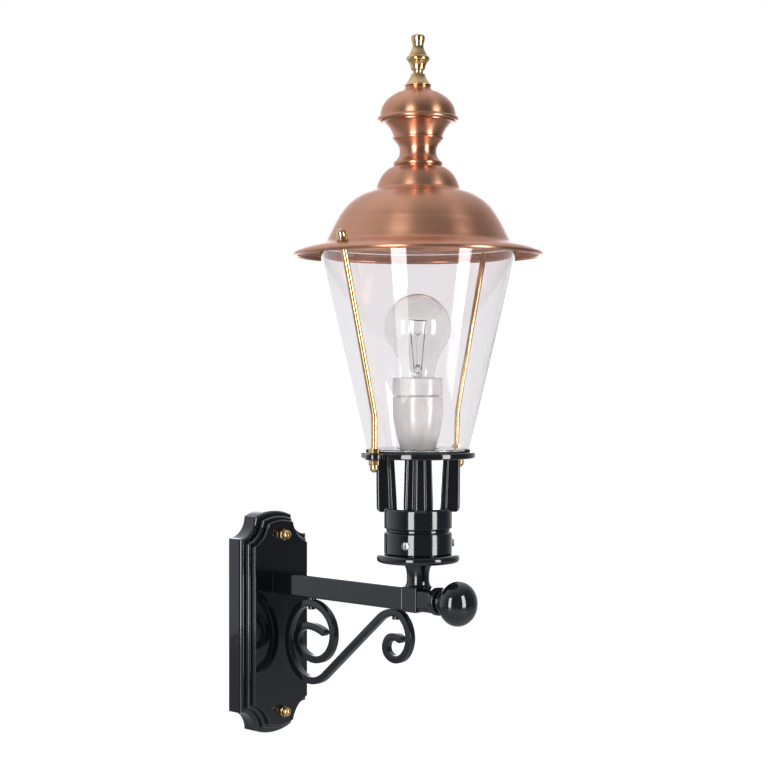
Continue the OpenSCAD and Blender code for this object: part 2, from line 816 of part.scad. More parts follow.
module arm_finial() color(black) {
    ball_mid = stub_end + ball_collar_l + ball_l/2;
    r = ball_collar_d/2;
    disc_l = 0.6*ball_collar_l;
    neck_r = 8;
    join = acos(neck_r/(ball_d/2));
    towards_lamp(0, arm_z) {
        translate([0, 0, stub_end - finial_thread_l])
            cylinder(h = finial_thread_l + 1, d = finial_thread_d);
        rotate_extrude()
            polygon(concat([[0, stub_end], [r - 1.2, stub_end]],
                arc(r - 1.2, stub_end + 1.2, 1.2, -80, 0, 4),
                arc(r - 2, stub_end + disc_l - 2, 2, 0, 90, 5),
                [[neck_r + 0.6, stub_end + disc_l], [neck_r, stub_end + disc_l + 0.8]],
                [for (i = [0:24]) let (a = -join + (90 + join)*i/24)
                    [ball_d/2*cos(a), ball_mid + ball_l/2*sin(a)]]));
    }
}

// Wiring: up from the terminal block, through the arm, and up the axis into the lamp holder
module wiring() color(rubber) {
    block_top = block_z + block_h/2;
    wire_top = chamber_z + 3;
    translate([0, -wire_y, block_top])
        cylinder(h = arm_z - wire_bend - block_top + eps, r = wire_r);
    translate([0, -wire_y - wire_bend, arm_z - wire_bend]) rotate([90, 0, 90])
        rotate_extrude(angle = 90) translate([wire_bend, 0]) circle(r = wire_r);
    towards_lamp(wire_y + wire_bend, arm_z)
        cylinder(h = lamp_y - wire_y - 2*wire_bend, r = wire_r);
    translate([0, -lamp_y + wire_bend, arm_z + wire_bend]) rotate([90, 0, 90]) rotate(180)
        rotate_extrude(angle = 90) translate([wire_bend, 0]) circle(r = wire_r);
    at_lamp(arm_z + wire_bend)
        cylinder(h = wire_top - arm_z - wire_bend, r = wire_r);
}

// One leg, standing on its own axis, with its foot rounded off
module leg_column() {
    h = leg_lap + leg_h + 2;
    foot_r = leg_d/2 + 1.2;
    edge = 4.5;
    rotate_extrude()
        polygon(concat([[0, 0]], arc(foot_r - edge, edge, edge, 270, 360, 8),
            [[leg_d/2, h], [0, h]]));
}

module collar_section() {
    r = collar_d/2;
    g = collar_z + groove_up;
    polygon([[0, collar_z], [r - 0.8, collar_z], [r, collar_z + 0.8],
        [r, g - 1 - collar_groove], [r - collar_groove, g - 0.6],
        [r - collar_groove, g + 0.6], [r, g + 1 + collar_groove], [r, collar_top - 2],
        [r - 2, collar_top], [0, collar_top]]);
}

module cage() color(black)
    difference() {
        union() {
            at_lamp() rotate_extrude() collar_section();
            at_lamp(ring_z) linear_extrude(ring_t) union() {
                circle(d = ring_d, $fn = 128);
                square([2*rod_r, lug_d], center = true);
                for (side = [-1, 1]) translate([side*rod_r, 0]) circle(d = lug_d);
            }
            at_lamp(ring_top - 1)
                cylinder(h = 1 + seal_t + 1.5, d = glass_foot_d - 2*glass_in - 1.4);
            for (turn = [45:90:315])
                at_lamp(ring_z + 1) rotate(turn) translate([leg_r, 0, 0])
                    rotate([0, leg_lean, 0]) translate([0, 0, -leg_h - leg_lap - 1])
                        leg_column();
        }
        at_lamp(collar_z - 1)
            cylinder(h = spigot_h + 1.5 + 1, r = collar_bore);
        at_lamp(collar_z) cylinder(h = collar_h + 1, d = 16);
        at_lamp(collar_top) cylinder(h = leg_h, r = cage_bore);
        at_lamp(ring_z - 1) cylinder(h = ring_t + 6, d = holder_tube_d + 2*thread_gap);
        at_lamp(ring_top) cylinder(h = 6, d = holder_foot_d + 8);
        for (side = [-1, 1])
            at_lamp(ring_z - 1) translate([side*rod_r, 0, 0])
                cylinder(h = ring_t + 2, d = rod_thread_d + 2*thread_gap);
        for (i = [0:2])
            at_lamp(set_z) rotate(set_turn + 120*i) translate([collar_bore - 1, 0, 0])
                rotate([0, 90, 0]) cylinder(h = 8, d = set_screw_d);
        for (i = [0:2])
            at_lamp(set_z) rotate(set_turn + 120*i) translate([set_seat_r, 0, 0])
                rotate([0, 90, 0]) cylinder(h = 4, d = set_head_d + 0.4);
    }

module collar_screws() color(steel)
    for (i = [0:2])
        at_lamp(set_z) rotate(set_turn + 120*i) translate([set_seat_r, 0, 0])
            rotate([0, 90, 0])
                slotted_screw(set_head_d, 2, set_screw_d - 2*thread_gap,
                    set_seat_r - (spigot_d/2 - spigot_groove) - rest_gap);

module holder_nipple() color(brass)
    at_lamp(ring_z - 8) ring(holder_tube_d, nipple_bore, 8 + ring_t + 8);

module holder_washer() color(steel)
    at_lamp(ring_z - 1.5) ring(18, holder_tube_d + 2*thread_gap, 1.5);

module holder_nut() color(brass)
    at_lamp(ring_z - 1.5 - arm_nut_h) hex_nut(arm_nut_af, arm_nut_h, holder_tube_d + 2*thread_gap);

module glass_foot_seal() color(rubber)
    at_lamp(ring_top) ring(glass_foot_d + 1, glass_foot_d - 2*glass_in - 1, seal_t);

// The top seal follows the slope of the brim above it
module glass_top_seal() color(rubber) {
    out_r = glass_top_r + 0.5;
    in_r = glass_top_r - glass_in - 0.5;
    at_lamp() rotate_extrude()
        polygon([[in_r, glass_top_z], [out_r, glass_top_z],
            [out_r, seat_z - lean_t*(out_r - seat_r)], [in_r, seat_z - lean_t*(in_r - seat_r)]]);
}

module glass_shade() color(clear, 0.35)
    at_lamp() rotate_extrude()
        polygon([[glass_foot_r - glass_in, glass_z], [glass_foot_r, glass_z],
            [glass_top_r, glass_top_z], [glass_top_r - glass_in, glass_top_z]]);

// Ring of a rod's skin: p is [distance from the axis, height, lean]
function rod_ring(p, d) =
    [for (i = [0:23]) let (a = -15*i, u = d/2*cos(a), v = d/2*sin(a))
        [p.x + u*cos(p[2]), v - lamp_y, p.y - u*sin(p[2])]];

// One rod: an upright threaded foot, a bend, and a leaning shaft with a threaded end
module rod() {
    cut = rod_bend_r*tan(rod_lean/2);
    foot = ring_z - rod_foot_end;
    shoulder = ring_top + rod_nut_h;
    function on_shaft(l) = [rod_r + l*sin(rod_lean), bend_z + l*cos(rod_lean), rod_lean];
    skin(concat(
        [rod_ring([rod_r, foot, 0], rod_thread_d), rod_ring([rod_r, shoulder, 0], rod_thread_d),
        rod_ring([rod_r, shoulder, 0], rod_d)],
        [for (i = [0:5]) let (a = rod_lean*i/5)
            rod_ring([rod_r + rod_bend_r*(1 - cos(a)), bend_z - cut + rod_bend_r*sin(a), a],
                rod_d)],
        [rod_ring(on_shaft(rod_top_run), rod_d), rod_ring(on_shaft(rod_top_run), rod_thread_d),
        rod_ring(on_shaft(rod_top_run + sheet_t + rod_top_end), rod_thread_d)]));
}

module turned_round_lamp() {
    at_lamp() rotate(180) translate([0, lamp_y, 0]) children();
}

module rod_right() color(brass) rod();
module rod_left() color(brass) turned_round_lamp() rod();

module rod_ring_nuts() color(brass)
    for (side = [-1, 1])
        at_lamp(ring_top) translate([side*rod_r, 0, 0])
            hex_nut(rod_nut_af, rod_nut_h, rod_thread_d + 2*thread_gap);

module rod_foot_nuts() color(brass)
    for (side = [-1, 1])
        at_lamp(ring_z) translate([side*rod_r, 0, 0]) rotate([180, 0, 0])
            cap_nut(rod_nut_af, rod_cap_h, 4.5, rod_thread_d + 2*thread_gap, rod_foot_end + 0.5);

module rod_top_nuts() color(brass)
    for (side = [-1, 1])
        at_lamp() rotate(side < 0 ? 180 : 0)
            translate([rod_r, 0, bend_z]) rotate([0, rod_lean, 0])
                translate([0, 0, rod_top_run + sheet_t])
                    cap_nut(rod_nut_af, rod_cap_h, 4.5, rod_thread_d + 2*thread_gap,
                        rod_top_end + 0.5);

// Porcelain holder: terminal chamber below, screw socket above
module holder_body() color(porcelain) {
    r = holder_d/2;
    foot = holder_foot_d/2;
    socket_r = shell_d/2 + shell_t + 0.2;
    difference() {
        at_lamp() rotate_extrude()
            difference() {
                polygon(concat([[0, body_z], [foot - 1, body_z]],
                    curve([foot, body_z + 1], [foot + 3.5, body_z + 12],
                        [r, body_z + 24], [r, body_top - 10], 12),
                    [[r, body_top - seam_h], [r - 1, body_top - seam_h], [r - 1, body_top],
                    [0, body_top]]));
                square([holder_tube_d/2 + thread_gap, chamber_z + 1]);
                translate([0, chamber_z]) square([chamber_r, socket_floor - 3 - chamber_z]);
                translate([0, socket_floor]) square([socket_r, holder_h]);
            }
        for (side = [-1, 1])
            at_lamp(socket_floor - 4) translate([side*terminal_r, 0, 0])
                cylinder(h = 5, d = 2.6);
    }
}

module holder_ring() color(porcelain)
    at_lamp() rotate_extrude()
        polygon(concat([[17, body_top], [holder_d/2 - 0.8, body_top], [holder_d/2, body_top + 0.8]],
            arc(holder_d/2 - 1.5, holder_top - 1.5, 1.5, 0, 90, 5), [[17, holder_top]]));

module holder_shell() color(brass)
    at_lamp(socket_floor) difference() {
        cylinder(h = shell_h, d = shell_d + 2*shell_t);
        translate([0, 0, shell_t]) cylinder(h = shell_h, d = shell_d);
        translate([0, 0, -1]) cylinder(h = 3, d = 19);
    }

// Spring strip that meets the foot of the bulb
module holder_contact() color(brass) {
    foot = -terminal_r - 1.5;
    at_lamp(socket_floor) translate([0, 3, 0]) rotate([90, 0, 0])
        linear_extrude(6)
            polygon([[foot, 0], [-2.2, 0], [2.5, 2.95], [2.5, 3.7], [-1.6, 3.7], [-1.6, 3.1],
                [1.5, 3.1], [-2.5, 0.6], [foot, 0.6]]);
}

// Two terminals under the socket's floor, each with a pin up through it
module holder_terminals() color(brass)
    for (side = [-1, 1])
        at_lamp() {
            translate([side*terminal_r - 2.5, -3.5, socket_floor - 11]) cube([5, 7, 8]);
            translate([side*terminal_r, 0, socket_floor - 4]) cylinder(h = 4, d = 2.4);
        }

// Bulb cap with its rolled thread, drawn as rings
module bulb_cap() color(steel)
    at_lamp() rotate_extrude()
        difference() {
            union() {
                translate([0, bulb_cap_z]) square([bulb_cap_r - 0.7, bulb_cap_h]);
                for (i = [0:4])
                    translate([bulb_cap_r - 1.1, bulb_cap_z + 4 + 3.6*i]) circle(r = 1.1);
            }
            translate([0, bulb_cap_z - 1]) square([bulb_cap_r - 1.6, bulb_cap_h + 2]);
        }

module bulb_insulator() color(rubber)
    at_lamp() rotate_extrude()
        polygon([[0, bulb_foot_z + 0.8], [5.5, bulb_foot_z + 0.8],
            [bulb_cap_r - 1.7, bulb_cap_z + 0.5], [bulb_cap_r - 1.7, bulb_cap_z + 2],
            [0, bulb_cap_z + 2]]);

module bulb_contact() color(steel)
    at_lamp(bulb_foot_z - 0.4) cylinder(h = 1.2, d = 9);

// Outside of the bulb's glass, from the cap to the crown
function bulb_curve(in) =
    let (r = bulb_d/2 - in, n = bulb_neck_d/2 - in)
    concat([[bulb_cap_r - 1.75 - in, bulb_cap_z + bulb_cap_h - 8]],
        [[bulb_cap_r - 1.75 - in, bulb_cap_z + bulb_cap_h]],
        curve([n, bulb_cap_z + bulb_cap_h + 4], [n + 0.4, holder_top + 8],
            [r*cos(35) - 4, bulb_mid_z - r*sin(35) - 6], [r*cos(35), bulb_mid_z - r*sin(35)], 10),
        arc(0, bulb_mid_z, r, -28, 90, 20));

module bulb_glass() color(clear, 0.3)
    at_lamp() rotate_extrude()
        difference() {
            polygon(concat([[0, bulb_cap_z + bulb_cap_h - 8]], bulb_curve(0)));
            polygon(concat([[0, bulb_cap_z + bulb_cap_h - 9],
                [bulb_cap_r - 1.75 - bulb_t, bulb_cap_z + bulb_cap_h - 9]], bulb_curve(bulb_t)));
        }

// Glass mount inside the bulb: a flare fused to the neck, a tube and a button
module bulb_stem() color(clear, 0.5) {
    foot_z = bulb_cap_z + bulb_cap_h - 7;
    flare_r = bulb_cap_r - 1.75 - bulb_t - 0.05;
    at_lamp() rotate_extrude()
        polygon(concat([[0, foot_z], [flare_r, foot_z], [flare_r, foot_z + 1]],
            curve([flare_r - 1, foot_z + 2], [5, foot_z + 4], [4, foot_z + 8],
                [3.2, foot_z + 13], 6),
            [[1.6, foot_z + 18], [1.6, stem_top - 2], [2.6, stem_top - 1], [2.6, stem_top + 1],
            [0, stem_top + 1]]));
}

module bulb_leads() color(steel) {
    pinch_z = bulb_cap_z + bulb_cap_h + 6;
    run = [filament_half - lead_foot, filament_z - pinch_z];
    for (side = [-1, 1])
        at_lamp(pinch_z) translate([side*lead_foot, 0, 0])
            rotate([0, side*atan(run.x/run.y), 0])
                cylinder(h = norm(run) - 1.2, d = lead_d);
    at_lamp(stem_top + 1) {
        cylinder(h = 1.2, d = 1.6);
        for (turn = [90, 270])
            translate([0, 0, 0.8]) rotate(turn) rotate([0, 60, 0]) cylinder(h = 7, d = 0.6);
    }
}

module bulb_filament() color(steel)
    at_lamp(filament_z) {
        translate([-filament_half - 0.5, 0, 0]) rotate([0, 90, 0])
            cylinder(h = 2*filament_half + 1, d = 1);
    }

// Hood: brim, dome and upper tier spun in one sheet
function brim_line(r) = brim_in_z - lean_t*(r - brim_in_r);
function hood_face() = concat(
    [[crown_rod_d/2 + thread_gap, tier_top_z], [tier_top_d/2, tier_top_z]],
    curve([tier_top_d/2 + 0.8, tier_top_z - 0.3], [tier_top_d/2 + 9, tier_top_z - 4],
        [dome_top_d/2 - 3.5, dome_top_z + 9], [dome_top_d/2 - 1.5, dome_top_z + 1.2], 10),
    curve([dome_top_d/2, dome_top_z], [dome_top_d/2 + 26.5, dome_top_z - 7.6],
        [brim_in_r - 12, brim_in_z + 24], [brim_in_r - 1, brim_in_z + 2], 18),
    [[brim_in_r + 1.6, brim_line(brim_in_r + 1.6)], [brim_lip_r, brim_line(brim_lip_r)]],
    curve([brim_lip_r + 1, brim_line(brim_lip_r + 1)],
        [brim_lip_r + 4, brim_line(brim_lip_r + 4)], [brim_r - 2.5, rim_z + 2.2],
        [brim_r - roll_r, rim_z + sheet_t], 8));

module hood() color(copper)
    difference() {
        union() {
            at_lamp() rotate_extrude() polygon(sheet(hood_face(), sheet_t));
            at_lamp() rotate_extrude()
                translate([brim_r - roll_r, rim_z + sheet_t/2]) circle(r = roll_r);
        }
        for (side = [-1, 1])
            at_lamp() rotate(side < 0 ? 180 : 0)
                translate([rod_r, 0, bend_z]) rotate([0, rod_lean, 0])
                    translate([0, 0, rod_top_run - 5])
                        cylinder(h = 12, d = rod_thread_d + 2*thread_gap);
    }

module crown_washer() color(steel)
    at_lamp(tier_top_z - sheet_t - crown_washer_t)
        ring(crown_washer_d, crown_rod_d + 2*thread_gap, crown_washer_t);

module crown_nut() color(steel)
    at_lamp(tier_top_z - sheet_t - crown_washer_t - crown_nut_h)
        hex_nut(10, crown_nut_h, crown_rod_d + 2*thread_gap);

module crown_rod() color(steel) {
    foot_z = tier_top_z - sheet_t - crown_washer_t - crown_nut_h - 2;
    at_lamp(foot_z) cylinder(h = cap_top_z + finial_bore_h - 1 - foot_z, d = crown_rod_d);
}

// Neck of the crown: a bead on a flat foot, a waist, a second bead and a flared top
function neck_face() =
    let (f = neck_foot_d/2, w = neck_waist_d/2, b = neck_bead_d/2, z = tier_top_z)
    concat([[neck_top_d/2, neck_top_z], [neck_top_d/2, neck_top_z - sheet_t]],
        curve([neck_top_d/2 - 4, neck_top_z - 1.6], [b + 3.6, neck_top_z - 4],
            [b + 0.8, z + 32], [b - 0.6, z + 28], 8),
        arc(b - 1.5, z + 26, 1.5, 50, -50, 5),
        curve([b - 1.8, z + 24], [w + 1, z + 19.5], [w, z + 17.5], [w, z + 14.5], 6),
        curve([w, z + 13.5], [w + 0.4, z + 10], [f - 4, z + 8.5], [f - 2, z + 6], 5),
        arc(f - 2.4, z + 3, 2.4, 55, -40, 5), [[f - 0.6, z]]);

// Its inner side: a plain hollow under the beads
function neck_hollow() =
    let (f = neck_foot_d/2, w = neck_waist_d/2 - sheet_t, b = neck_bead_d/2, z = tier_top_z)
    concat([[f - 4.5, z], [f - 4.5, z + 4.5]],
        curve([f - 5, z + 6.5], [w + 1, z + 9.5], [w, z + 11], [w, z + 14], 5),
        curve([w, z + 17], [w + 1, z + 20], [b - 3.4, z + 24], [b - 2.6, z + 27], 6),
        curve([b - 2.2, z + 29], [b - 0.6, z + 33], [b + 2.6, neck_top_z - 3],
            [neck_top_d/2 - 4.6, neck_top_z], 8));

module crown_neck() color(copper)
    at_lamp() rotate_extrude() polygon(concat(neck_face(), neck_hollow()));

// Cap of the crown: collar, domed top and a rolled rim over the neck's flange
function cap_face() =
    let (c = cap_collar_d/2, r = cap_d/2, z = neck_top_z)
    concat([[crown_rod_d/2 + thread_gap, cap_top_z], [c - 0.6, cap_top_z], [c, cap_top_z - 0.6]],
        curve([c, cap_top_z - 1.6], [c + 1.5, cap_top_z - 4], [c + 5, cap_top_z - 5],
            [c + 8, cap_top_z - 6.2], 5),
        curve([c + 9, cap_top_z - 6.8], [r - 7.5, z + 19.5], [r - 3, z + 14],
            [r - 2.4, z + 5.5], 10),
        [[r - 1.7, z + 3.2]]);

module crown_cap() color(copper)
    at_lamp() union() {
        rotate_extrude() polygon(sheet(cap_face(), sheet_t));
        rotate_extrude() translate([cap_d/2 - cap_roll_r, neck_top_z + cap_roll_r])
            circle(r = cap_roll_r);
        rotate_extrude() translate([cap_d/2 - 6, neck_top_z]) square([3.4, sheet_t]);
    }

// Finial, turned from one bar of brass; k stretches its heights with its own height
function finial_face() =
    let (f = finial_d/2, k = finial_h/46.5)
    [for (p = concat([[0, 0], [f - 0.8, 0]], arc(f - 0.8, 0.9, 0.8, -80, 70, 5),
        curve([f - 1.2, 2.4], [f - 2.8, 5], [7.2, 7], [6.7, 10.2], 6),
        curve([5.6, 10.8], [4.7, 11.4], [4.7, 13], [5.2, 14.4], 5),
        curve([6.2, 15.4], [6.9, 18], [7.6, 20.6], [8.8, 21.6], 6),
        arc(7.95, 24.9, 2.8, -62, 62, 8),
        curve([8.4, 28], [7.6, 30.5], [5.4, 33], [5.15, 36], 7),
        curve([5.2, 37.5], [5.3, 39.5], [6.1, 40.5], [6.35, 42.6], 5),
        arc(4.3, 44.4, 2.1, 10, 90, 5), [[0, 46.5]]))
        [p.x, k*p.y]];

module finial() color(brass)
    at_lamp(cap_top_z)
        difference() {
            rotate_extrude() polygon(finial_face());
            translate([0, 0, -1])
                cylinder(h = finial_bore_h + 1, d = crown_rod_d + 2*thread_gap);
        }

wall_plate();
mounting_strap();
plate_studs();
plate_cap_nuts();
arm();
arm_end_block();
arm_tube_nipple();
arm_washer();
arm_nut();
terminal_block();
terminal_screws();
terminal_fixing_screw();
earth_screw();
scroll();
scroll_spacers();
scroll_screws();
tee();
tee_screw();
arm_finial();
wiring();
cage();
collar_screws();
holder_nipple();
holder_washer();
holder_nut();
glass_foot_seal();
glass_top_seal();
glass_shade();
rod_left();
rod_right();
rod_ring_nuts();
rod_foot_nuts();
rod_top_nuts();
holder_body();
holder_ring();
holder_shell();
holder_contact();
holder_terminals();
bulb_cap();
bulb_insulator();
bulb_contact();
bulb_glass();
bulb_stem();
bulb_leads();
bulb_filament();
hood();
crown_washer();
crown_nut();
crown_rod();
crown_neck();
crown_cap();
finial();
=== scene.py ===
"""Outdoor wall light: a glass lantern with a copper hood on a scroll bracket.

Sizes are in millimetres in the frame of the CAD model: the wall is the plane Y = 0, +Z is up, and
the light stands out along -Y. Meshes are made in millimetres and turned to metres as the last step.
"""

import json
import logging
import math
from dataclasses import dataclass, field
from enum import Enum
from typing import ClassVar, Iterable, Sequence

import bmesh
import bpy
from mathutils import Matrix, Vector


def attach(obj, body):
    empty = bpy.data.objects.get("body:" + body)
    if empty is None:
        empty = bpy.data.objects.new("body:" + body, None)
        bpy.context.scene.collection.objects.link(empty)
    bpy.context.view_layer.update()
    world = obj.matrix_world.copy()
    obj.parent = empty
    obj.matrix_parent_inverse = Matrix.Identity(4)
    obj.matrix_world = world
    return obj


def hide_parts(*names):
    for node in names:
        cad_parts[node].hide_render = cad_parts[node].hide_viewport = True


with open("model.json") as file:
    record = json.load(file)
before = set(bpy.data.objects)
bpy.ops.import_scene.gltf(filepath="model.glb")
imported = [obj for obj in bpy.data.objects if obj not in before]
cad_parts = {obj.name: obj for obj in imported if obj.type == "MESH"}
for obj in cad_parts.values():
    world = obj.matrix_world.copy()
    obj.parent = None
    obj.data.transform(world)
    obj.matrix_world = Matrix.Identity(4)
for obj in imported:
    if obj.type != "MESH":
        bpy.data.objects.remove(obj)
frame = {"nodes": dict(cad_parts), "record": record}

LOG = logging.getLogger("wall_light")
MM = 0.001
LAMP_Y = -206.0
LAMP = Vector((0.0, LAMP_Y, 0.0))
ARM_Z = 40.0
NUT_EDGE = 0.35
VECTORS = "ShaderNodeVectorMath"
NOISE_LOW, NOISE_HIGH = 0.3, 0.7

Point = tuple[float, float]
Profile = list[Point]
Socket = bpy.types.NodeSocket
Verts = list[bmesh.types.BMVert]
Edges = list[bmesh.types.BMEdge]


class Body(Enum):
    """The two bodies of the light, one on each side of the swivel."""

    BRACKET = "bracket"
    LANTERN = "lantern"


class Slot(Enum):
    """Material slots of the record."""

    BLACK = "black_gloss"
    COPPER = "copper_spun"
    BRASS = "brass_polished"
    STEEL = "steel_zinc"
    CHROME = "screw_chrome"
    GLASS = "glass_clear"
    PORCELAIN = "porcelain_white"
    RUBBER = "rubber_black"
    SHEATH = "sheath_grey"
    TERMINAL = "terminal_white"
    WIRE = "wire_tungsten"


def arc(cx: float, cy: float, radius: float, start: float, end: float, steps: int = 8) -> Profile:
    """Points on an arc.

    Args:
        cx: First coordinate of the centre.
        cy: Second coordinate of the centre.
        radius: Radius of the arc.
        start: Starting angle in degrees.
        end: Last angle in degrees.
        steps: Number of chords.

    Returns:
        The points from start to end.
    """
    turns = [math.radians(start + (end - start) * i / steps) for i in range(steps + 1)]
    return [(cx + radius * math.cos(a), cy + radius * math.sin(a)) for a in turns]


def circle(cx: float, cy: float, radius: float) -> Profile:
    """A round outline of 24 points, 15 degrees apart."""
    return arc(cx, cy, radius, 0, 345, 23)


def curve(p0: Point, c0: Point, c1: Point, p1: Point, steps: int = 14) -> Profile:
    """Points on a cubic curve that leaves p0 towards c0 and reaches p1 from c1.

    Args:
        p0: First point.
        c0: Point that the curve leaves towards.
        c1: Point that the curve arrives from.
        p1: Last point.
        steps: Number of chords.

    Returns:
        The points from p0 to p1.
    """
    found = []
    for i in range(steps + 1):
        t = i / steps
        u = 1 - t
        pulls = tuple(zip((u * u * u, 3 * u * u * t, 3 * u * t * t, t * t * t), (p0, c0, c1, p1)))
        found.append((sum(w * p[0] for w, p in pulls), sum(w * p[1] for w, p in pulls)))
    return found


def past_bend(
    x: float, y: float, heading: float, radius: float, turn: float
) -> tuple[float, float, float]:
    """Follows an arc to the left.

    Args:
        x: First coordinate of its start.
        y: Second coordinate of its start.
        heading: Heading at its start in degrees.
        radius: Radius of the arc.
        turn: Turn in degrees.

    Returns:
        Both coordinates of its end, and the heading there.
    """
    a, b = math.radians(heading), math.radians(heading + turn)
    x += radius * (math.sin(b) - math.sin(a))
    y += radius * (math.cos(a) - math.cos(b))
    return x, y, heading + turn


def moved(x: float = 0.0, y: float = 0.0, z: float = 0.0) -> Matrix:
    """Matrix that moves by the given distances."""
    return Matrix.Translation((x, y, z))


def turned(degrees: float, axis: str) -> Matrix:
    """Matrix that turns about an axis."""
    return Matrix.Rotation(math.radians(degrees), 4, axis)


def along_arm(y: float, z: float = ARM_Z) -> Matrix:
    """Matrix that lays the Z axis along the arm, away from the wall, from the distance y."""
    return moved(0, -y, z) @ turned(90, "X")


def on_rod_side(side: int, offset: float) -> Matrix:
    """Matrix to a place right (1) or left (-1) of the lantern's axis, at the given distance."""
    return moved(y=LAMP_Y) @ turned(0 if side > 0 else 180, "Z") @ moved(offset)


def put(name: str, data: bpy.types.ID) -> bpy.types.Object:
    """Makes an object and links it to the scene.

    Args:
        name: Name of the object.
        data: Its mesh, light or camera.

    Returns:
        The object.
    """
    made = bpy.data.objects.new(name, data)
    bpy.context.scene.collection.objects.link(made)
    return made


def hex_colour(code: str) -> tuple[float, float, float, float]:
    """Turns an sRGB hex colour into linear light.

    Args:
        code: Six hex digits, with or without a leading hash.

    Returns:
        Linear red, green, blue and an alpha of 1.
    """
    code = code.lstrip("#")
    parts = [int(code[i : i + 2], 16) / 255 for i in (0, 2, 4)]
    red, green, blue = (p / 12.92 if p <= 0.04045 else ((p + 0.055) / 1.055) ** 2.4 for p in parts)
    return red, green, blue, 1.0


def add_node(
    tree: bpy.types.NodeTree, kind: str, settings: dict | None = None, inputs: dict | None = None
) -> bpy.types.Node:
    """Adds one shader node with its settings and links.

    Args:
        tree: Node tree that gets the node.
        kind: Blender's name of the node type.
        settings: Attributes to set on the node.
        inputs: Input name or index, and a value or the socket that feeds it.

    Returns:
        The new node.
    """
    node = tree.nodes.new(kind)
    for name, value in (settings or {}).items():
        setattr(node, name, value)
    for name, value in (inputs or {}).items():
        if isinstance(value, Socket):
            tree.links.new(value, node.inputs[name])
        else:
            node.inputs[name].default_value = value
    return node


def calc(
    tree: bpy.types.NodeTree,
    operation: str,
    *inputs: Socket | float | Sequence[float],
    kind: str = "ShaderNodeMath",
    out: str = "Value",
) -> Socket:
    """Adds a calculation.

    Args:
        tree: Node tree that gets it.
        operation: Blender's name of the operation.
        inputs: What it works on, in order.
        kind: Blender's name of the node type, with numbers or with vectors.
        out: Name of the output.

    Returns:
        The result.
    """
    return add_node(tree, kind, {"operation": operation}, dict(enumerate(inputs))).outputs[out]


def combine(tree: bpy.types.NodeTree, x: Socket, y: Socket) -> Socket:
    """Adds a flat vector of two numbers."""
    return add_node(tree, "ShaderNodeCombineXYZ", inputs={"X": x, "Y": y}).outputs["Vector"]


def mix(tree: bpy.types.NodeTree, share: Socket, first: Socket, second: Socket) -> Socket:
    """Adds a mix of two shaders: the first where the share is 0, the second where it is 1."""
    inputs = {0: share, 1: first, 2: second}
    return add_node(tree, "ShaderNodeMixShader", inputs=inputs).outputs["Shader"]


def seen_straight(tree: bpy.types.NodeTree) -> Socket:
    """Adds a switch that is 1 for what is seen straight or through clear glass."""
    path = add_node(tree, "ShaderNodeLightPath").outputs
    return calc(tree, "MAXIMUM", path["Is Camera Ray"], path["Is Transmission Ray"])


@dataclass
class Surface:
    """A material in the making: its tree, its shader and its Object coordinates."""

    name: str
    base: str
    settings: dict = field(default_factory=dict)

    def __post_init__(self) -> None:
        """Starts the material with one shader and its output."""
        self.material = bpy.data.materials.new(self.name)
        self.material.use_nodes = True
        self.tree = self.material.node_tree
        self.tree.nodes.clear()
        inputs = {"Base Color": hex_colour(self.base), **self.settings}
        self.shader = add_node(self.tree, "ShaderNodeBsdfPrincipled", inputs=inputs)
        inputs = {"Surface": self.shader.outputs["BSDF"]}
        self.out = add_node(self.tree, "ShaderNodeOutputMaterial", inputs=inputs)
        self.place = add_node(self.tree, "ShaderNodeTexCoord").outputs["Object"]

    def feed(self, name: str, value: Socket) -> None:
        """Leads a pattern into an input of the shader."""
        self.tree.links.new(value, self.shader.inputs[name])

    def noise(self, size_mm: float, detail: float = 2.0, where: Socket | None = None) -> Socket:
        """Adds a noise pattern.

        Args:
            size_mm: Size of one blotch in millimetres.
            detail: Octaves of finer noise.
            where: Coordinates to read in place of the object's own.

        Returns:
            The pattern's value, about 0.3 to 0.7.
        """
        inputs = {"Vector": where or self.place, "Scale": 1.0 / (size_mm * MM), "Detail": detail}
        return add_node(self.tree, "ShaderNodeTexNoise", inputs=inputs).outputs["Fac"]

    def polish(self, value: Socket, low: float, high: float) -> None:
        """Varies the roughness from low to high over the range of a noise."""
        inputs = {"Value": value, 1: NOISE_LOW, 2: NOISE_HIGH, 3: low, 4: high}
        self.feed("Roughness", add_node(self.tree, "ShaderNodeMapRange", inputs=inputs).outputs[0])

    def tint(self, value: Socket, dark: str, light: str) -> None:
        """Varies the base colour between two hex colours over the range of a noise.

        Args:
            value: The noise.
            dark: Colour at its low end.
            light: Colour at its high end.
        """
        ramp = add_node(self.tree, "ShaderNodeValToRGB", inputs={"Fac": value})
        stops = ((NOISE_LOW, dark), (NOISE_HIGH, light))
        for element, (position, colour) in zip(ramp.color_ramp.elements, stops):
            element.position, element.color = position, hex_colour(colour)
        self.feed("Base Color", ramp.outputs["Color"])

    def relief(self, *layers: tuple[Socket, float]) -> None:
        """Adds bump from several patterns.

        Args:
            layers: Pairs of a pattern and its full height in millimetres.
        """
        below: dict = {}
        for value, height in layers:
            inputs = {"Height": value, "Distance": height * MM, "Strength": 1.0, **below}
            below = {"Normal": add_node(self.tree, "ShaderNodeBump", inputs=inputs).outputs[0]}
        self.feed("Normal", below["Normal"])


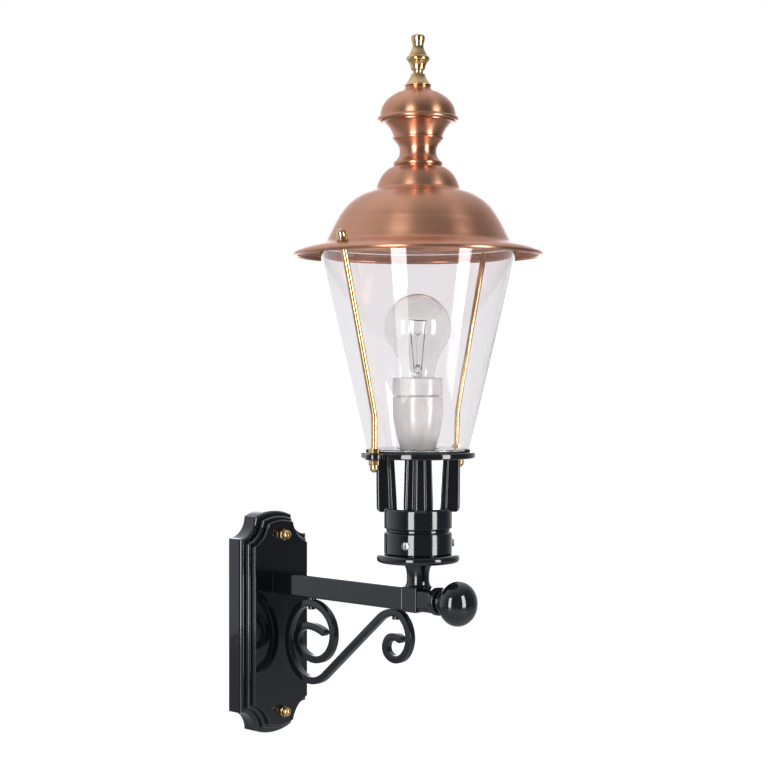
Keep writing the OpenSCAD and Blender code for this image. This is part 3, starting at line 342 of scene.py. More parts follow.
@dataclass(frozen=True)
class GlossPaint:
    """Black wet enamel over cast or welded metal."""

    name: str = "black gloss enamel"
    base: str = "#0b0d12"
    casting: float = 0.012

    def material(self) -> bpy.types.Material:
        """Enamel flows into a near mirror; the casting below leaves slow waves in it."""
        s = Surface(
            self.name, self.base, {"Roughness": 0.09, "Coat Weight": 0.5, "Coat Roughness": 0.03}
        )
        # waves of the casting about 14 mm apart, and the enamel's own orange peel at 2 mm
        s.relief((s.noise(14.0, 1.0), 10 * self.casting), (s.noise(2.0, 1.0), self.casting))
        s.polish(s.noise(30.0, 3.0), 0.06, 0.13)
        return s.material


@dataclass(frozen=True)
class SpunCopper:
    """Bare copper sheet, spun to shape on a lathe and brushed with fine grit."""

    name: str = "brushed spun copper"
    base: str = "#d89f80"
    roughness: float = 0.33

    def material(self) -> bpy.types.Material:
        """The grit leaves fine rings round the axis, so highlights stretch up and down the form."""
        s = Surface(
            self.name,
            self.base,
            {
                "Metallic": 1.0,
                "Roughness": self.roughness,
                "Anisotropic": 0.8,
                "Anisotropic Rotation": 0.25,
            },
        )
        radial = {"direction_type": "RADIAL", "axis": "Z"}
        s.feed("Tangent", add_node(s.tree, "ShaderNodeTangent", radial).outputs["Tangent"])
        # every ring is one radius and one height: the pattern reads only those two
        centred = calc(s.tree, "SUBTRACT", s.place, LAMP * MM, kind=VECTORS, out="Vector")
        parts = add_node(s.tree, "ShaderNodeSeparateXYZ", inputs={"Vector": centred}).outputs
        radius = calc(s.tree, "LENGTH", combine(s.tree, parts["X"], parts["Y"]), kind=VECTORS)
        rings = combine(s.tree, radius, parts["Z"])
        # grit lines are finer than a pixel here, so they are drawn 0.7 mm apart
        lines = s.noise(0.7, 2.0, rings)
        bands = s.noise(9.0, 3.0, rings)
        clouds = s.noise(26.0, 3.0)
        mixed = calc(s.tree, "MULTIPLY", calc(s.tree, "ADD", bands, clouds), 0.5)
        s.tint(mixed, "#c38b6d", "#d69f80")
        s.polish(mixed, 0.28, 0.39)
        s.relief((lines, 0.003), (bands, 0.03))
        return s.material


@dataclass(frozen=True)
class PolishedBrass:
    """Yellow brass, turned and buffed."""

    name: str = "polished brass"
    base: str = "#d9b984"
    roughness: float = 0.16

    def material(self) -> bpy.types.Material:
        """Buffing leaves a bright skin with faint clouds where it has been handled."""
        s = Surface(self.name, self.base, {"Metallic": 1.0, "Roughness": self.roughness})
        clouds = s.noise(7.0, 3.0)
        s.tint(clouds, "#cfab70", "#e3c596")
        s.polish(clouds, 0.7 * self.roughness, 1.5 * self.roughness)
        s.relief((s.noise(1.6, 2.0), 0.004))
        return s.material


@dataclass(frozen=True)
class PlainMetal:
    """Zinc-plated or chromed steel."""

    name: str
    base: str
    roughness: float

    def material(self) -> bpy.types.Material:
        """Plating has a fine even bloom over the steel."""
        s = Surface(self.name, self.base, {"Metallic": 1.0, "Roughness": self.roughness})
        s.polish(s.noise(3.0, 3.0), 0.8 * self.roughness, 1.3 * self.roughness)
        return s.material


@dataclass(frozen=True)
class ClearGlass:
    """Blown or moulded clear glass."""

    name: str
    base: str
    waviness_mm: float = 0.0
    shine: float = 0.2

    def material(self) -> bpy.types.Material:
        """A polished skin on both sides; the moulded shade keeps long shallow waves."""
        clear = {"Transmission Weight": 1.0, "Roughness": 0.0, "IOR": 1.5}
        s = Surface(self.name, self.base, {**clear, "Specular IOR Level": self.shine})
        if self.waviness_mm > 0:
            s.relief((s.noise(45.0, 0.0), self.waviness_mm))
        return s.material


@dataclass(frozen=True)
class Porcelain:
    """White glazed porcelain."""

    name: str = "glazed porcelain"
    base: str = "#d2cfcc"

    def material(self) -> bpy.types.Material:
        """A thick clear glaze over a warm white body, with slight pooling."""
        s = Surface(
            self.name, self.base, {"Roughness": 0.2, "Coat Weight": 0.7, "Coat Roughness": 0.04}
        )
        s.tint(s.noise(16.0, 2.0), "#cdc9c6", "#d8d5d2")
        s.relief((s.noise(9.0, 1.0), 0.05))
        return s.material


@dataclass(frozen=True)
class DullPlastic:
    """Moulded plastic or rubber with a fine matt skin."""

    name: str
    base: str
    roughness: float = 0.55

    def material(self) -> bpy.types.Material:
        """The mould's spark-eroded face leaves a grain of about 0.4 mm."""
        s = Surface(self.name, self.base, {"Roughness": self.roughness})
        s.relief((s.noise(0.4, 1.0), 0.01))
        return s.material


class Finishes:
    """All the finishes of the light, each made once."""

    def __init__(self) -> None:
        """Makes one material for each slot of the record."""
        kinds = {
            Slot.BLACK: GlossPaint(),
            Slot.COPPER: SpunCopper(),
            Slot.BRASS: PolishedBrass(),
            Slot.STEEL: PlainMetal("zinc-plated steel", "#b9bcc0", 0.3),
            Slot.CHROME: PlainMetal("chromed steel", "#a3a6aa", 0.22),
            Slot.GLASS: ClearGlass("clear moulded glass", "#f6f4f6", 0.05, 0.07),
            Slot.PORCELAIN: Porcelain(),
            Slot.RUBBER: DullPlastic("black seal rubber", "#141414", 0.7),
            Slot.SHEATH: DullPlastic("grey cable sheath", "#2a2b2d"),
            Slot.TERMINAL: DullPlastic("white terminal plastic", "#e2e0d8", 0.4),
            Slot.WIRE: PlainMetal("oxidised lamp wire", "#4a4a4d", 0.45),
        }
        self.by_slot = {slot: kind.material() for slot, kind in kinds.items()}
        self.bulb_glass = ClearGlass("thin bulb glass", "#f6f6f5").material()

    def dress_frame(self) -> None:
        """Gives every CAD node the finish of its slot, and two of them one of their own: the scroll
        screws take the black paint, and the seal under the hood a coppery colour that is painted
        reflection of the copper hood.
        """
        slots = {p["node"]: p["material_slot"] for p in frame["record"]["subparts"]}
        special = {
            # painted reflection: the seal's coppery colour stands in for the copper hood mirrored
            # in it, not for a colour of its own
            "glass_top_seal": DullPlastic("seal with painted copper reflection", "#c79a83", 0.5).material(),
            "scroll_screws": self.by_slot[Slot.BLACK],
        }
        for name, node in frame["nodes"].items():
            finish = special.get(name, self.by_slot[Slot(slots[name])])
            for place in node.material_slots:
                place.material = finish


def of_kind(geom: Iterable, kind: type) -> list:
    """The members of one kind: corners, edges or faces."""
    return [g for g in geom if isinstance(g, kind)]


def edges_of(verts: Iterable[bmesh.types.BMVert]) -> set[bmesh.types.BMEdge]:
    """All edges that end at the given corners."""
    return {e for v in verts for e in v.link_edges}


def island(start: bmesh.types.BMVert) -> Verts:
    """All corners joined to the given one, itself among them."""
    seen, rim = {start}, [start]
    while rim:
        vert = rim.pop()
        fresh = {link.other_vert(vert) for link in vert.link_edges} - seen
        seen |= fresh
        rim.extend(fresh)
    return list(seen)


@dataclass
class Workpiece:
    """A mesh in the making, in millimetres, for one body of the light."""

    name: str
    body: Body
    finishes: Finishes

    def __post_init__(self) -> None:
        """Starts with an empty mesh."""
        self.mesh = bmesh.new()

    def loop(self, places: Iterable[Sequence[float]]) -> tuple[Verts, Edges]:
        """Lays a closed ring of edges through places, and gives its corners and its edges."""
        verts = [self.mesh.verts.new(place) for place in places]
        return verts, [self.mesh.edges.new(pair) for pair in zip(verts, verts[1:] + verts[:1])]

    def extrude(self, edges: Edges) -> tuple[Verts, Edges]:
        """Extrudes edges on the spot, and gives the new corners and edges."""
        made = bmesh.ops.extrude_edge_only(self.mesh, edges=edges)["geom"]
        return of_kind(made, bmesh.types.BMVert), of_kind(made, bmesh.types.BMEdge)

    def close(self, edges: Edges) -> None:
        """Fills a ring of edges with one face."""
        bmesh.ops.contextual_create(self.mesh, geom=edges)

    def place(self, verts: Verts, at: Matrix) -> None:
        """Moves corners by a matrix."""
        bmesh.ops.transform(self.mesh, matrix=at, verts=verts)

    def soften(
        self,
        edges: Iterable[bmesh.types.BMEdge],
        radius: float,
        steps: int,
        clamp_overlap: bool = True,
    ) -> Verts:
        """Rounds edges over.

        Args:
            edges: The edges.
            radius: Radius of the rounding.
            steps: Facets across it.
            clamp_overlap: Whether the rounding shrinks where two of them would meet.

        Returns:
            The corners it makes.
        """
        return bmesh.ops.bevel(
            self.mesh,
            geom=list(edges),
            offset=radius,
            segments=steps,
            profile=0.5,
            affect="EDGES",
            material=-1,
            clamp_overlap=clamp_overlap,
        )["verts"]

    def turn(
        self, profile: Profile, closed: bool = True, steps: int = 144, at: Matrix | None = None
    ) -> "Workpiece":
        """Turns a profile of radius and height round the Z axis.

        Args:
            profile: Points as radius and height.
            closed: Whether the last point joins the first, as on a shell with two sides.
            steps: Number of flats round the piece.
            at: Where the turned form goes; the lantern's axis if left out.

        Returns:
            The piece itself.
        """
        bm = self.mesh
        points = [bm.verts.new((r, 0.0, z)) for r, z in profile]
        edges = [bm.edges.new(pair) for pair in zip(points, points[1:])]
        if closed:
            edges.append(bm.edges.new((points[-1], points[0])))
        bmesh.ops.spin(
            bm,
            geom=points + edges,
            cent=(0, 0, 0),
            axis=(0, 0, 1),
            dvec=(0, 0, 0),
            angle=math.tau,
            steps=steps,
            use_merge=True,
        )
        bmesh.ops.remove_doubles(bm, verts=island(points[len(points) // 2]), dist=1e-4)
        seed = next(p for p in points if p.is_valid)
        self.place(island(seed), at or moved(y=LAMP_Y))
        return self

    def hexagon(self, across_flats: float, low: float, high: float, at: Matrix) -> None:
        """Adds a hexagon with softened edges, round Z.

        Args:
            across_flats: Width across the flats.
            low: Height of its foot.
            high: Height of its top.
            at: Where it goes.
        """
        radius = across_flats / 2 / math.cos(math.pi / 6)
        made = bmesh.ops.create_cone(
            self.mesh, cap_ends=True, segments=6, radius1=radius, radius2=radius, depth=high - low
        )["verts"]
        self.place(made, moved(z=(low + high) / 2))
        self.place(island(self.soften(edges_of(made), NUT_EDGE, 3)[0]), at)

    def cap_nut(self, across_flats: float, height: float, at: Matrix) -> None:
        """Adds a domed nut that stands on z = 0.

        Args:
            across_flats: Width across the flats.
            height: Height with the dome.
            at: Where it goes.
        """
        base = 0.41 * height
        radius = 0.46 * across_flats
        self.hexagon(across_flats, 0.0, base, at)
        dome = [(0.0, base - 0.5), (radius, base - 0.5), (radius, height - radius)]
        dome += arc(0.0, height - radius, radius, 6, 84, 12) + [(0.0, height)]
        self.turn(dome, steps=40, at=at)

    def finish(
        self,
        slot: Slot,
        *replaces: str,
        material: bpy.types.Material | None = None,
        sharp: float = 30.0,
        flats: bool = False,
    ) -> None:
        """Turns the mesh into a finished object that rides on its body.

        Args:
            slot: Material slot of the record.
            replaces: CAD nodes that the piece stands for.
            material: Finish of the piece, its slot's own if left out.
            sharp: Edges that turn by more degrees than this stay crisp.
            flats: Whether broad flat faces keep their own direction next to rounds.
        """
        bm = self.mesh
        bmesh.ops.recalc_face_normals(bm, faces=bm.faces)
        bmesh.ops.scale(bm, vec=(MM, MM, MM), verts=bm.verts)
        bm.normal_update()
        limit = math.radians(sharp)
        for face in bm.faces:
            face.smooth = True
        for edge in bm.edges:
            edge.smooth = len(edge.link_faces) == 2 and edge.calc_face_angle(0.0) < limit
        data = bpy.data.meshes.new(self.name)
        bm.to_mesh(data)
        bm.free()
        data.materials.append(material or self.finishes.by_slot[slot])
        piece = put(self.name, data)
        if flats:
            weighted = piece.modifiers.new("flat faces stay flat", "WEIGHTED_NORMAL")
            weighted.keep_sharp = True
        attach(piece, self.body.value)
        if replaces:
            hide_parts(*replaces)
        LOG.info("%s: %d faces on %s", self.name, len(data.polygons), self.body.value)


@dataclass
class Trade:
    """Work of one kind on one body of the light."""

    finishes: Finishes
    body: ClassVar[Body] = Body.LANTERN

    def start(self, name: str) -> Workpiece:
        """Starts a piece on this trade's body."""
        return Workpiece(name, self.body, self.finishes)


@dataclass
class WallPlate(Trade):
    """Cast plate: stacked mouldings round a flat panel, with hollow corners and arched ends."""

    body: ClassVar[Body] = Body.BRACKET
    width: float = 88.0
    height: float = 217.0
    cove: float = 20.0
    rise: float = 5.0
    steps: tuple[float, float, float] = (18.0, 23.0, 28.0)
    rounds: tuple[float, float, float] = (4.0, 2.5, 1.2)
    ledge: float = 1.15
    wall: float = 4.0
    nut_flats: float = 10.0
    nut_height: float = 11.0
    nut_pitch: float = 172.0

    def outline(self, inset: float) -> Profile:
        """The plate's edge moved in, always with the same number of points.

        Args:
            inset: Distance in from the true edge.

        Returns:
            Points as x and z, anticlockwise from the upper right shoulder.
        """
        reach, corner = self.width / 2 - self.cove, self.height / 2 - self.rise
        full = (reach**2 + self.rise**2) / (2 * self.rise)
        middle = self.height / 2 - full
        cove, arch = self.cove + inset, full - inset
        across, up = self.width / 2, corner - middle
        far, aim = math.hypot(across, up), math.degrees(math.atan2(up, across))
        at_cove = math.degrees(math.acos((far**2 + cove**2 - arch**2) / (2 * far * cove)))
        at_arch = math.degrees(math.acos((far**2 + arch**2 - cove**2) / (2 * far * arch)))
        first = 270 - math.degrees(math.asin(inset / cove))
        side = arc(across, corner, cove, first, 180 + aim - at_cove, 18)
        top = arc(0, middle, arch, aim + at_arch, 180 - aim - at_arch, 26)
        half = side + top[1:-1] + [(-x, z) for x, z in side[::-1]]
        return half + [(-x, -z) for x, z in half]

    def moulding(self) -> Profile:
        """Section of the casting as inset and depth, from the hollow's floor to the panel."""
        bead, ovolo, panel = self.rounds
        first, second, front = self.steps
        flat = bead + self.ledge
        inner = flat + ovolo + self.ledge
        edge = inner + panel
        line = [(edge + self.wall, front - self.wall), (edge + self.wall, first - self.wall)]
        line += [(self.wall, first - self.wall), (self.wall, 0.0), (0.4, 0.0), (0.0, 0.4)]
        line += arc(bead, first - bead, bead, 180, 90, 10)
        line += [(flat, first)] + arc(flat + ovolo, second - ovolo, ovolo, 180, 90, 8)
        return line + [(inner, second)] + arc(edge, front - panel, panel, 180, 90, 6)

    def casting(self) -> Workpiece:
        """Leads the outline along the moulding's section, and closes both ends.

        Returns:
            The plate.
        """
        piece = self.start("wall_plate_casting")
        rings = [
            [(x, -depth, z) for x, z in self.outline(inset)] for inset, depth in self.moulding()
        ]
        verts, edges = piece.loop(rings[0])
        piece.close(edges)
        for places in rings[1:]:
            fresh, edges = piece.extrude(edges)
            verts = [
                next(e.other_vert(v) for e in v.link_edges if e.other_vert(v) in fresh)
                for v in verts
            ]
            for vert, place in zip(verts, places):
                vert.co = place
        piece.close(edges)
        return piece

    def build(self) -> None:
        """Makes the plate and its two domed nuts."""
        self.casting().finish(Slot.BLACK, "wall_plate", flats=True)
        nuts = self.start("wall_plate_nuts")
        for z in (-self.nut_pitch / 2, self.nut_pitch / 2):
            nuts.cap_nut(self.nut_flats, self.nut_height, along_arm(self.steps[2], z))
        nuts.finish(Slot.BRASS, "plate_cap_nuts")


@dataclass
class Bar:
    """A bar drawn out along straights and bends in one plane, as a smith would lead it.

    The section is given as distance to the left of the run and across it. The place x, y and the
    heading in degrees are those of the open end.
    """

    piece: Workpiece
    section: Profile
    plane: Matrix
    x: float
    y: float
    heading: float

    def __post_init__(self) -> None:
        """Sets the section down at the start."""
        ring, self.ends = self.piece.loop((0.0, u, v) for u, v in self.section)
        self.piece.place(ring, self.pose())

    def pose(self) -> Matrix:
        """Place and heading of the open end."""
        return self.plane @ moved(self.x, self.y) @ turned(self.heading, "Z")

    def close(self) -> None:
        """Fills the open end."""
        self.piece.close(self.ends)

    def straight(self, length: float, scale: float = 1.0) -> None:
        """Draws the bar on in a straight line.

        Args:
            length: Length of the run.
            scale: Share of its width that the bar has at the end of the run.
        """
        verts, self.ends = self.piece.extrude(self.ends)
        back = self.pose().inverted()
        self.x += length * math.cos(math.radians(self.heading))
        self.y += length * math.sin(math.radians(self.heading))
        self.piece.place(verts, self.pose() @ Matrix.Diagonal((1.0, scale, 1.0, 1.0)) @ back)

    def bend(self, radius: float, turn: float, fineness: float = 3.0) -> None:
        """Bends the bar to the left on an arc.

        Args:
            radius: Radius of the bar's middle line.
            turn: Turn in degrees.
            fineness: Largest turn of one step in degrees.
        """
        made = bmesh.ops.spin(
            self.piece.mesh,
            geom=list({v for e in self.ends for v in e.verts}) + self.ends,
            cent=self.pose() @ Vector((0, radius, 0)),
            axis=(self.plane.to_3x3() @ Vector((0, 0, 1))).normalized(),
            dvec=(0, 0, 0),
            angle=math.radians(turn),
            steps=max(2, math.ceil(turn / fineness)),
        )["geom_last"]
        self.ends = of_kind(made, bmesh.types.BMEdge)
        self.x, self.y, self.heading = past_bend(self.x, self.y, self.heading, radius, turn)

    def shoulder(self, scale: float) -> None:
        """Changes the bar's thickness on the spot.

        Args:
            scale: New thickness over the old one.
        """
        verts, self.ends = self.piece.extrude(self.ends)
        centre = sum((v.co for v in verts), Vector()) / len(verts)
        space = Matrix.Translation(-centre)
        bmesh.ops.scale(self.piece.mesh, vec=(scale,) * 3, verts=verts, space=space)

    def round_end(self, half: float) -> None:
        """Rounds the bar's end off and closes it.

        Args:
            half: Half of the bar's width.
        """
        last_run, last_width = 0.0, 1.0
        for angle in (18, 36, 54, 68, 80):
            run, width = half * math.sin(math.radians(angle)), math.cos(math.radians(angle))
            self.straight(run - last_run, width / last_width)
            last_run, last_width = run, width
        self.close()


@dataclass
class ScrollBrace(Trade):
    """Square iron bar led into a large and a small volute under the arm."""

    body: ClassVar[Body] = Body.BRACKET
    bar: float = 7.0
    softened: float = 0.9
    slope: float = 41.0
    big_run: float = 47.0
    small_run: float = 46.8
    top_y: float = -69.5
    spacer: float = 2.5
    arm_under: float = 29.5
    big_arcs: tuple[Point, ...] = (
        (28, 41), (28, 45), (39, 45), (44, 45), (25, 45), (32, 45), (26, 45), (27, 45),
        (23, 45), (29, 45), (13, 45), (13, 45), (16, 45), (48, 25),
    )  # fmt: skip
    small_arcs: tuple[Point, ...] = (
        (30, 41), (14.5, 45), (25, 45), (23.5, 45), (14.5, 45), (13, 45), (9, 45), (10.5, 90),
        (17, 25),
    )  # fmt: skip
    big_top: int = 5

    def section(self) -> Profile:
        """Square with rounded corners, anticlockwise."""
        flat, corners = self.bar / 2 - self.softened, ((1, 1), (-1, 1), (-1, -1), (1, -1))
        arcs = [
            arc(sx * flat, sy * flat, self.softened, 90 * i, 90 * i + 90, 3)
            for i, (sx, sy) in enumerate(corners)
        ]
        return [point for corner in arcs for point in corner]

    def middle(self) -> Point:
        """Finds the slanted run's own zero from where the large volute meets its spacer.

        Returns:
            Its place along y and its height.
        """
        h = math.radians(-self.slope)
        x, y, heading = self.big_run * math.cos(h), self.big_run * math.sin(h), -self.slope
        for radius, turn in self.big_arcs[: self.big_top]:
            x, y, heading = past_bend(x, y, heading, radius, turn)
        return self.top_y - x, self.arm_under - self.spacer - self.bar / 2 - y

    def build(self) -> None:
        """Leads both volutes from the slanted middle run."""
        upright = Matrix(((0, 0, 1, 0), (1, 0, 0, 0), (0, 1, 0, 0), (0, 0, 0, 1)))
        plane = moved(0, *self.middle()) @ upright
        piece = self.start("scroll_bar")
        for heading, run, arcs in (
            (-self.slope, self.big_run, self.big_arcs),
            (180 - self.slope, self.small_run, self.small_arcs),
        ):
            bar = Bar(piece, self.section(), plane, 0.0, 0.0, heading)
            bar.straight(run)
            for radius, turn in arcs:
                bar.bend(radius, turn)
            bar.round_end(self.bar / 2)
        bmesh.ops.remove_doubles(piece.mesh, verts=piece.mesh.verts, dist=1e-3)
        piece.finish(Slot.BLACK, "scroll", flats=True)


@dataclass
class ArmAndTee(Trade):
    """Square arm, the tee casting on its end, and the ball that closes it."""

    body: ClassVar[Body] = Body.BRACKET
    arm_width: float = 21.0
    arm_edge: float = 1.6
    arm_from: float = 28.0
    arm_to: float = 196.0
    block: float = 22.6
    block_edge: float = 1.2
    block_length: float = 17.5
    stub: float = 20.4
    stub_edge: float = 4.2
    stub_rim: float = 0.8
    stub_end: float = 228.0
    stem: float = 20.5
    dish_top: float = 81.0
    dish_radius: float = 37.75
    dish_thick: float = 7.5
    spigot_radius: float = 27.0
    spigot_top: float = 117.0
    groove_z: float = 90.3
    ball: float = 20.0
    ball_half: float = 15.5
    ball_neck: float = 8.0
    ball_foot: float = 10.0
    collar: float = 12.7
    collar_thick: float = 6.0

    def square(
        self,
        piece: Workpiece,
        width: float,
        start: float,
        end: float,
        edge: float,
        rim: float | None = None,
    ) -> None:
        """Adds a square bar along the arm with softened edges.

        Args:
            piece: Piece that gets the bar.
            width: Side of the square.
            start: Distance of its near end from the wall.
            end: Distance of its far end from the wall.
            edge: Radius of its long edges.
            rim: Radius of the edges round its ends, the same if it is left out.
        """
        made = bmesh.ops.create_cube(piece.mesh, size=1.0)["verts"]
        bmesh.ops.scale(piece.mesh, vec=(width, end - start, width), verts=made)
        piece.place(made, moved(0, -(start + end) / 2, ARM_Z))
        if rim is None:
            piece.soften(edges_of(made), edge, 5)
            return
        run = {e: abs(e.verts[0].co.y - e.verts[1].co.y) for e in edges_of(made)}
        verts = island(piece.soften([e for e in run if run[e] > 1], edge, 8)[0])
        run = {e: abs(e.verts[0].co.y - e.verts[1].co.y) for e in edges_of(verts)}
        piece.soften([e for e in run if run[e] < 0.01 and e.calc_face_angle(0) > 1], rim, 4)

    def tee(self) -> None:
        """Makes the casting: block, stub, stem, dish and spigot."""
        piece = self.start("tee_casting")
        end = self.arm_to + self.block_length
        self.square(piece, self.block, self.arm_to, end, self.block_edge)
        r, foot, top = self.stem / 2, ARM_Z + self.block / 2, self.dish_top
        under = top - self.dish_thick
        line = [(0.0, foot - 3), (r - 1, foot - 3), (r - 1, foot), (r + 2, foot)]
        line += curve((r + 1.8, foot + 0.6), (r + 0.7, foot + 1.6), (r, foot + 4), (r, foot + 7), 8)
        line += curve(
            (r, under - 15), (r, under - 8), (r + 0.9, under - 3), (r + 4.6, under - 0.5), 14
        )
        line += curve((16, under - 0.2), (19, under), (24, under), (30, under), 6)
        rim = 0.45 * self.dish_thick
        line += arc(self.dish_radius - rim, under + rim, rim, -84, 0, 7)
        line += arc(self.dish_radius - rim, top - rim, rim, 0, 90, 7)
        s, g, lid = self.spigot_radius - 0.02, self.groove_z, self.spigot_top
        line += [(s, top), (s, g - 3), (s - 2, g - 1), (s - 2, g + 1), (s, g + 3)]
        piece.turn(line + [(s, lid - 1), (s - 1, lid), (0.0, lid)], closed=False)
        self.square(piece, self.stub, end - 2, self.stub_end, self.stub_edge, self.stub_rim)
        piece.finish(Slot.BLACK, "tee", flats=True)

    def ball_end(self) -> None:
        """Makes the turned ball with its collar."""
        r, neck, disc = self.collar, self.ball_neck, self.collar_thick
        line = [(0.0, 0.0), (r - 1.2, 0.0)] + arc(r - 1.2, 1.2, 1.2, -75, 0, 4)
        line += arc(r - 1.8, disc - 1.8, 1.8, 0, 90, 6)
        line += curve(
            (neck + 1.2, disc), (neck + 0.2, disc + 0.4), (neck, disc + 1.2), (neck, disc + 2), 5
        )
        middle = self.ball_foot + self.ball_half
        join = math.degrees(math.acos(neck / self.ball))
        unit = arc(0.0, 0.0, 1.0, -join, 90, 40)[:-1]
        line += [(self.ball * u, middle + self.ball_half * v) for u, v in unit]
        line += [(0.0, middle + self.ball_half)]
        piece = self.start("arm_ball")
        piece.turn(line, closed=False, steps=128, at=along_arm(self.stub_end))
        piece.finish(Slot.BLACK, "arm_finial")

    def build(self) -> None:
        """Makes the arm, the tee and the ball."""
        arm = self.start("square_arm")
        self.square(arm, self.arm_width, self.arm_from, self.arm_to, self.arm_edge)
        arm.finish(Slot.BLACK, "arm", flats=True)
        self.tee()
        self.ball_end()


@dataclass
class LanternCage(Trade):
    """Casting over the spigot: grooved collar, four ribbed legs and the ring on top."""

    low: float = 81.3
    collar: float = 31.0
    collar_height: float = 41.0
    bore: float = 27.08
    groove_up: float = 21.0
    groove: float = 2.0
    leg_height: float = 45.0
    flange: float = 12.2
    rib: float = 10.4
    rib_root: float = -0.5
    tip: float = 12.2
    taper: float = 0.88
    foot: float = 4.6
    leg_at: float = 27.2
    lean: float = 2.3
    lap: float = 3.4
    ring: float = 52.0
    ring_thick: float = 5.5
    ring_edge: float = 1.3
    lug: float = 8.0
    lug_at: float = 57.5
    screw_turn: float = 81.0
    screw_z: float = 90.3
    screw_head: float = 3.5
    slot_half: float = 0.6
    slot_deep: float = 1.0

    @property
    def ring_z(self) -> float:
        """Height of the ring's underside."""
        return self.low + self.collar_height + self.leg_height

    def leg_section(self) -> Profile:
        """Flat flange towards the glass with a broad rib on its outer face, anticlockwise."""
        wide, root, rib = self.flange, self.rib_root, self.rib / 2
        half = arc(self.tip - 2.6, rib - 2.6, 2.6, 0, 90, 8)
        half += arc(root + 1.5, rib + 1.5, 1.5, 270, 180, 4)
        half += arc(root - 1.4, wide - 1.4, 1.4, 0, 90, 4)
        half += arc(-5.0, wide - 1.0, 1.0, 90, 180, 3)
        return half + [(x, -y) for x, y in reversed(half)]

    def legs(self, piece: Workpiece) -> None:
        """Adds the four legs: each tapers to the top and ends in a rounded foot.

        Args:
            piece: The cage.
        """
        height = self.lap + self.leg_height + 3
        for turn in (45, 135, 225, 315):
            section = [(self.taper * x, self.taper * y, height) for x, y in self.leg_section()]
            ring, ends = piece.loop(section)
            piece.close(ends)
            grow = 1 / self.taper
            for angle in range(0, 91, 15):
                verts, ends = piece.extrude(ends)
                cut = self.foot * (1 - math.cos(math.radians(angle)))
                side = self.flange - 0.3 * cut
                z = self.foot * (1 - math.sin(math.radians(angle)))
                for v in verts:
                    x, y = grow * v.co.x, grow * v.co.y
                    v.co = (min(x, self.tip - cut), max(-side, min(side, y)), z)
                grow = 1.0
            piece.close(ends)
            corner = moved(0, LAMP_Y, self.ring_z + 2) @ turned(turn, "Z") @ moved(self.leg_at)
            piece.place(island(ring[0]), corner @ turned(self.lean, "Y") @ moved(z=1 - height))

    def collar_line(self) -> Profile:
        """Section of the collar: foot, groove, roof and bore."""
        r, z = self.collar, self.low
        g, top = z + self.groove_up, z + self.collar_height
        line = [(self.bore, z), (r - 1.0, z)] + arc(r - 1.0, z + 1.0, 1.0, -60, 0, 3)
        line += arc(r - 1.0, g - 0.8 - self.groove, 1.0, 0, 45, 3)
        line += [(r - self.groove, g - 0.7), (r - self.groove, g + 0.7)]
        line += arc(r - 1.0, g + 0.8 + self.groove, 1.0, -45, 0, 3)
        line += arc(r - 2.5, top - 2.5, 2.5, 0, 90, 6)
        return line + [(8.0, top), (8.0, top - 3.4), (self.bore, top - 3.4)]

    def disc_edge(self, bore: float, radius: float) -> Profile:
        """Section of the ring or a lug, from the bore's foot round the rim to its upper face."""
        z, e, high = self.ring_z, self.ring_edge, self.ring_z + self.ring_thick
        line = [(bore, z), (radius - e, z)] + arc(radius - e, z + e, e, -70, 0, 4)
        return line + arc(radius - e, high - e, e, 0, 90, 5)

    def ring_line(self) -> Profile:
        """Section of the ring, with the raised seat inside the glass."""
        z = self.ring_z + self.ring_thick
        line = self.disc_edge(5.1, self.ring) + [(43.2, z), (43.2, z + 2.6), (42.6, z + 3.0)]
        return line + [(19.8, z + 3.0), (19.2, z + 2.4), (19.2, z), (5.1, z)]

    def half_head(self, piece: Workpiece, side: int, at: Matrix) -> None:
        """Adds one of the two raised halves beside a screw's slot.

        Args:
            piece: Piece that gets it.
            side: 1 or -1.
            at: Where the screw is.
        """
        bm = piece.mesh
        disc = bmesh.ops.create_circle(bm, cap_ends=True, radius=self.screw_head, segments=40)
        verts = disc["verts"]
        cut = bmesh.ops.bisect_plane(
            bm,
            geom=verts + list(edges_of(verts)) + list({f for v in verts for f in v.link_faces}),
            dist=1e-4,
            plane_co=(self.slot_half * side, 0, 0),
            plane_no=(side, 0, 0),
            clear_inner=True,
        )["geom"]
        face = of_kind(cut, bmesh.types.BMFace)[0]
        top = bmesh.ops.extrude_face_region(bm, geom=[face])["geom"]
        piece.place(of_kind(top, bmesh.types.BMVert), moved(z=self.slot_deep))
        lid = of_kind(top, bmesh.types.BMFace)[0]
        fresh = piece.soften(lid.edges, 0.25, 2, clamp_overlap=False)
        piece.place(island(fresh[0]), at @ moved(z=1.0))

    def screws(self) -> None:
        """Makes the three slotted screws: each head is a disc with two raised halves."""
        piece = self.start("collar_screw_heads")
        r = self.screw_head
        line = [(0.0, -8.0), (1.9, -8.0), (1.9, -0.2), (r - 0.3, 0.0), (r, 0.3), (r, 1.0)]
        for index in range(3):
            bearing = moved(0, LAMP_Y, self.screw_z) @ turned(self.screw_turn + 120 * index, "Z")
            out = bearing @ moved(self.collar - 0.4) @ turned(90, "Y")
            at = out @ turned(35 + 50 * index, "Z")
            piece.turn(line + [(0.0, 1.0)], closed=False, steps=40, at=at)
            for side in (-1, 1):
                self.half_head(piece, side, at)
        piece.finish(Slot.CHROME, "collar_screws")

    def build(self) -> None:
        """Makes the casting and its screws."""
        piece = self.start("lantern_cage")
        self.legs(piece)
        piece.turn(self.collar_line()).turn(self.ring_line())
        lug = self.disc_edge(2.5, self.lug) + [(2.5, self.ring_z + self.ring_thick)]
        for side in (-1, 1):
            piece.turn(lug, steps=48, at=on_rod_side(side, self.lug_at))
        piece.finish(Slot.BLACK, "cage", flats=True)
        self.screws()


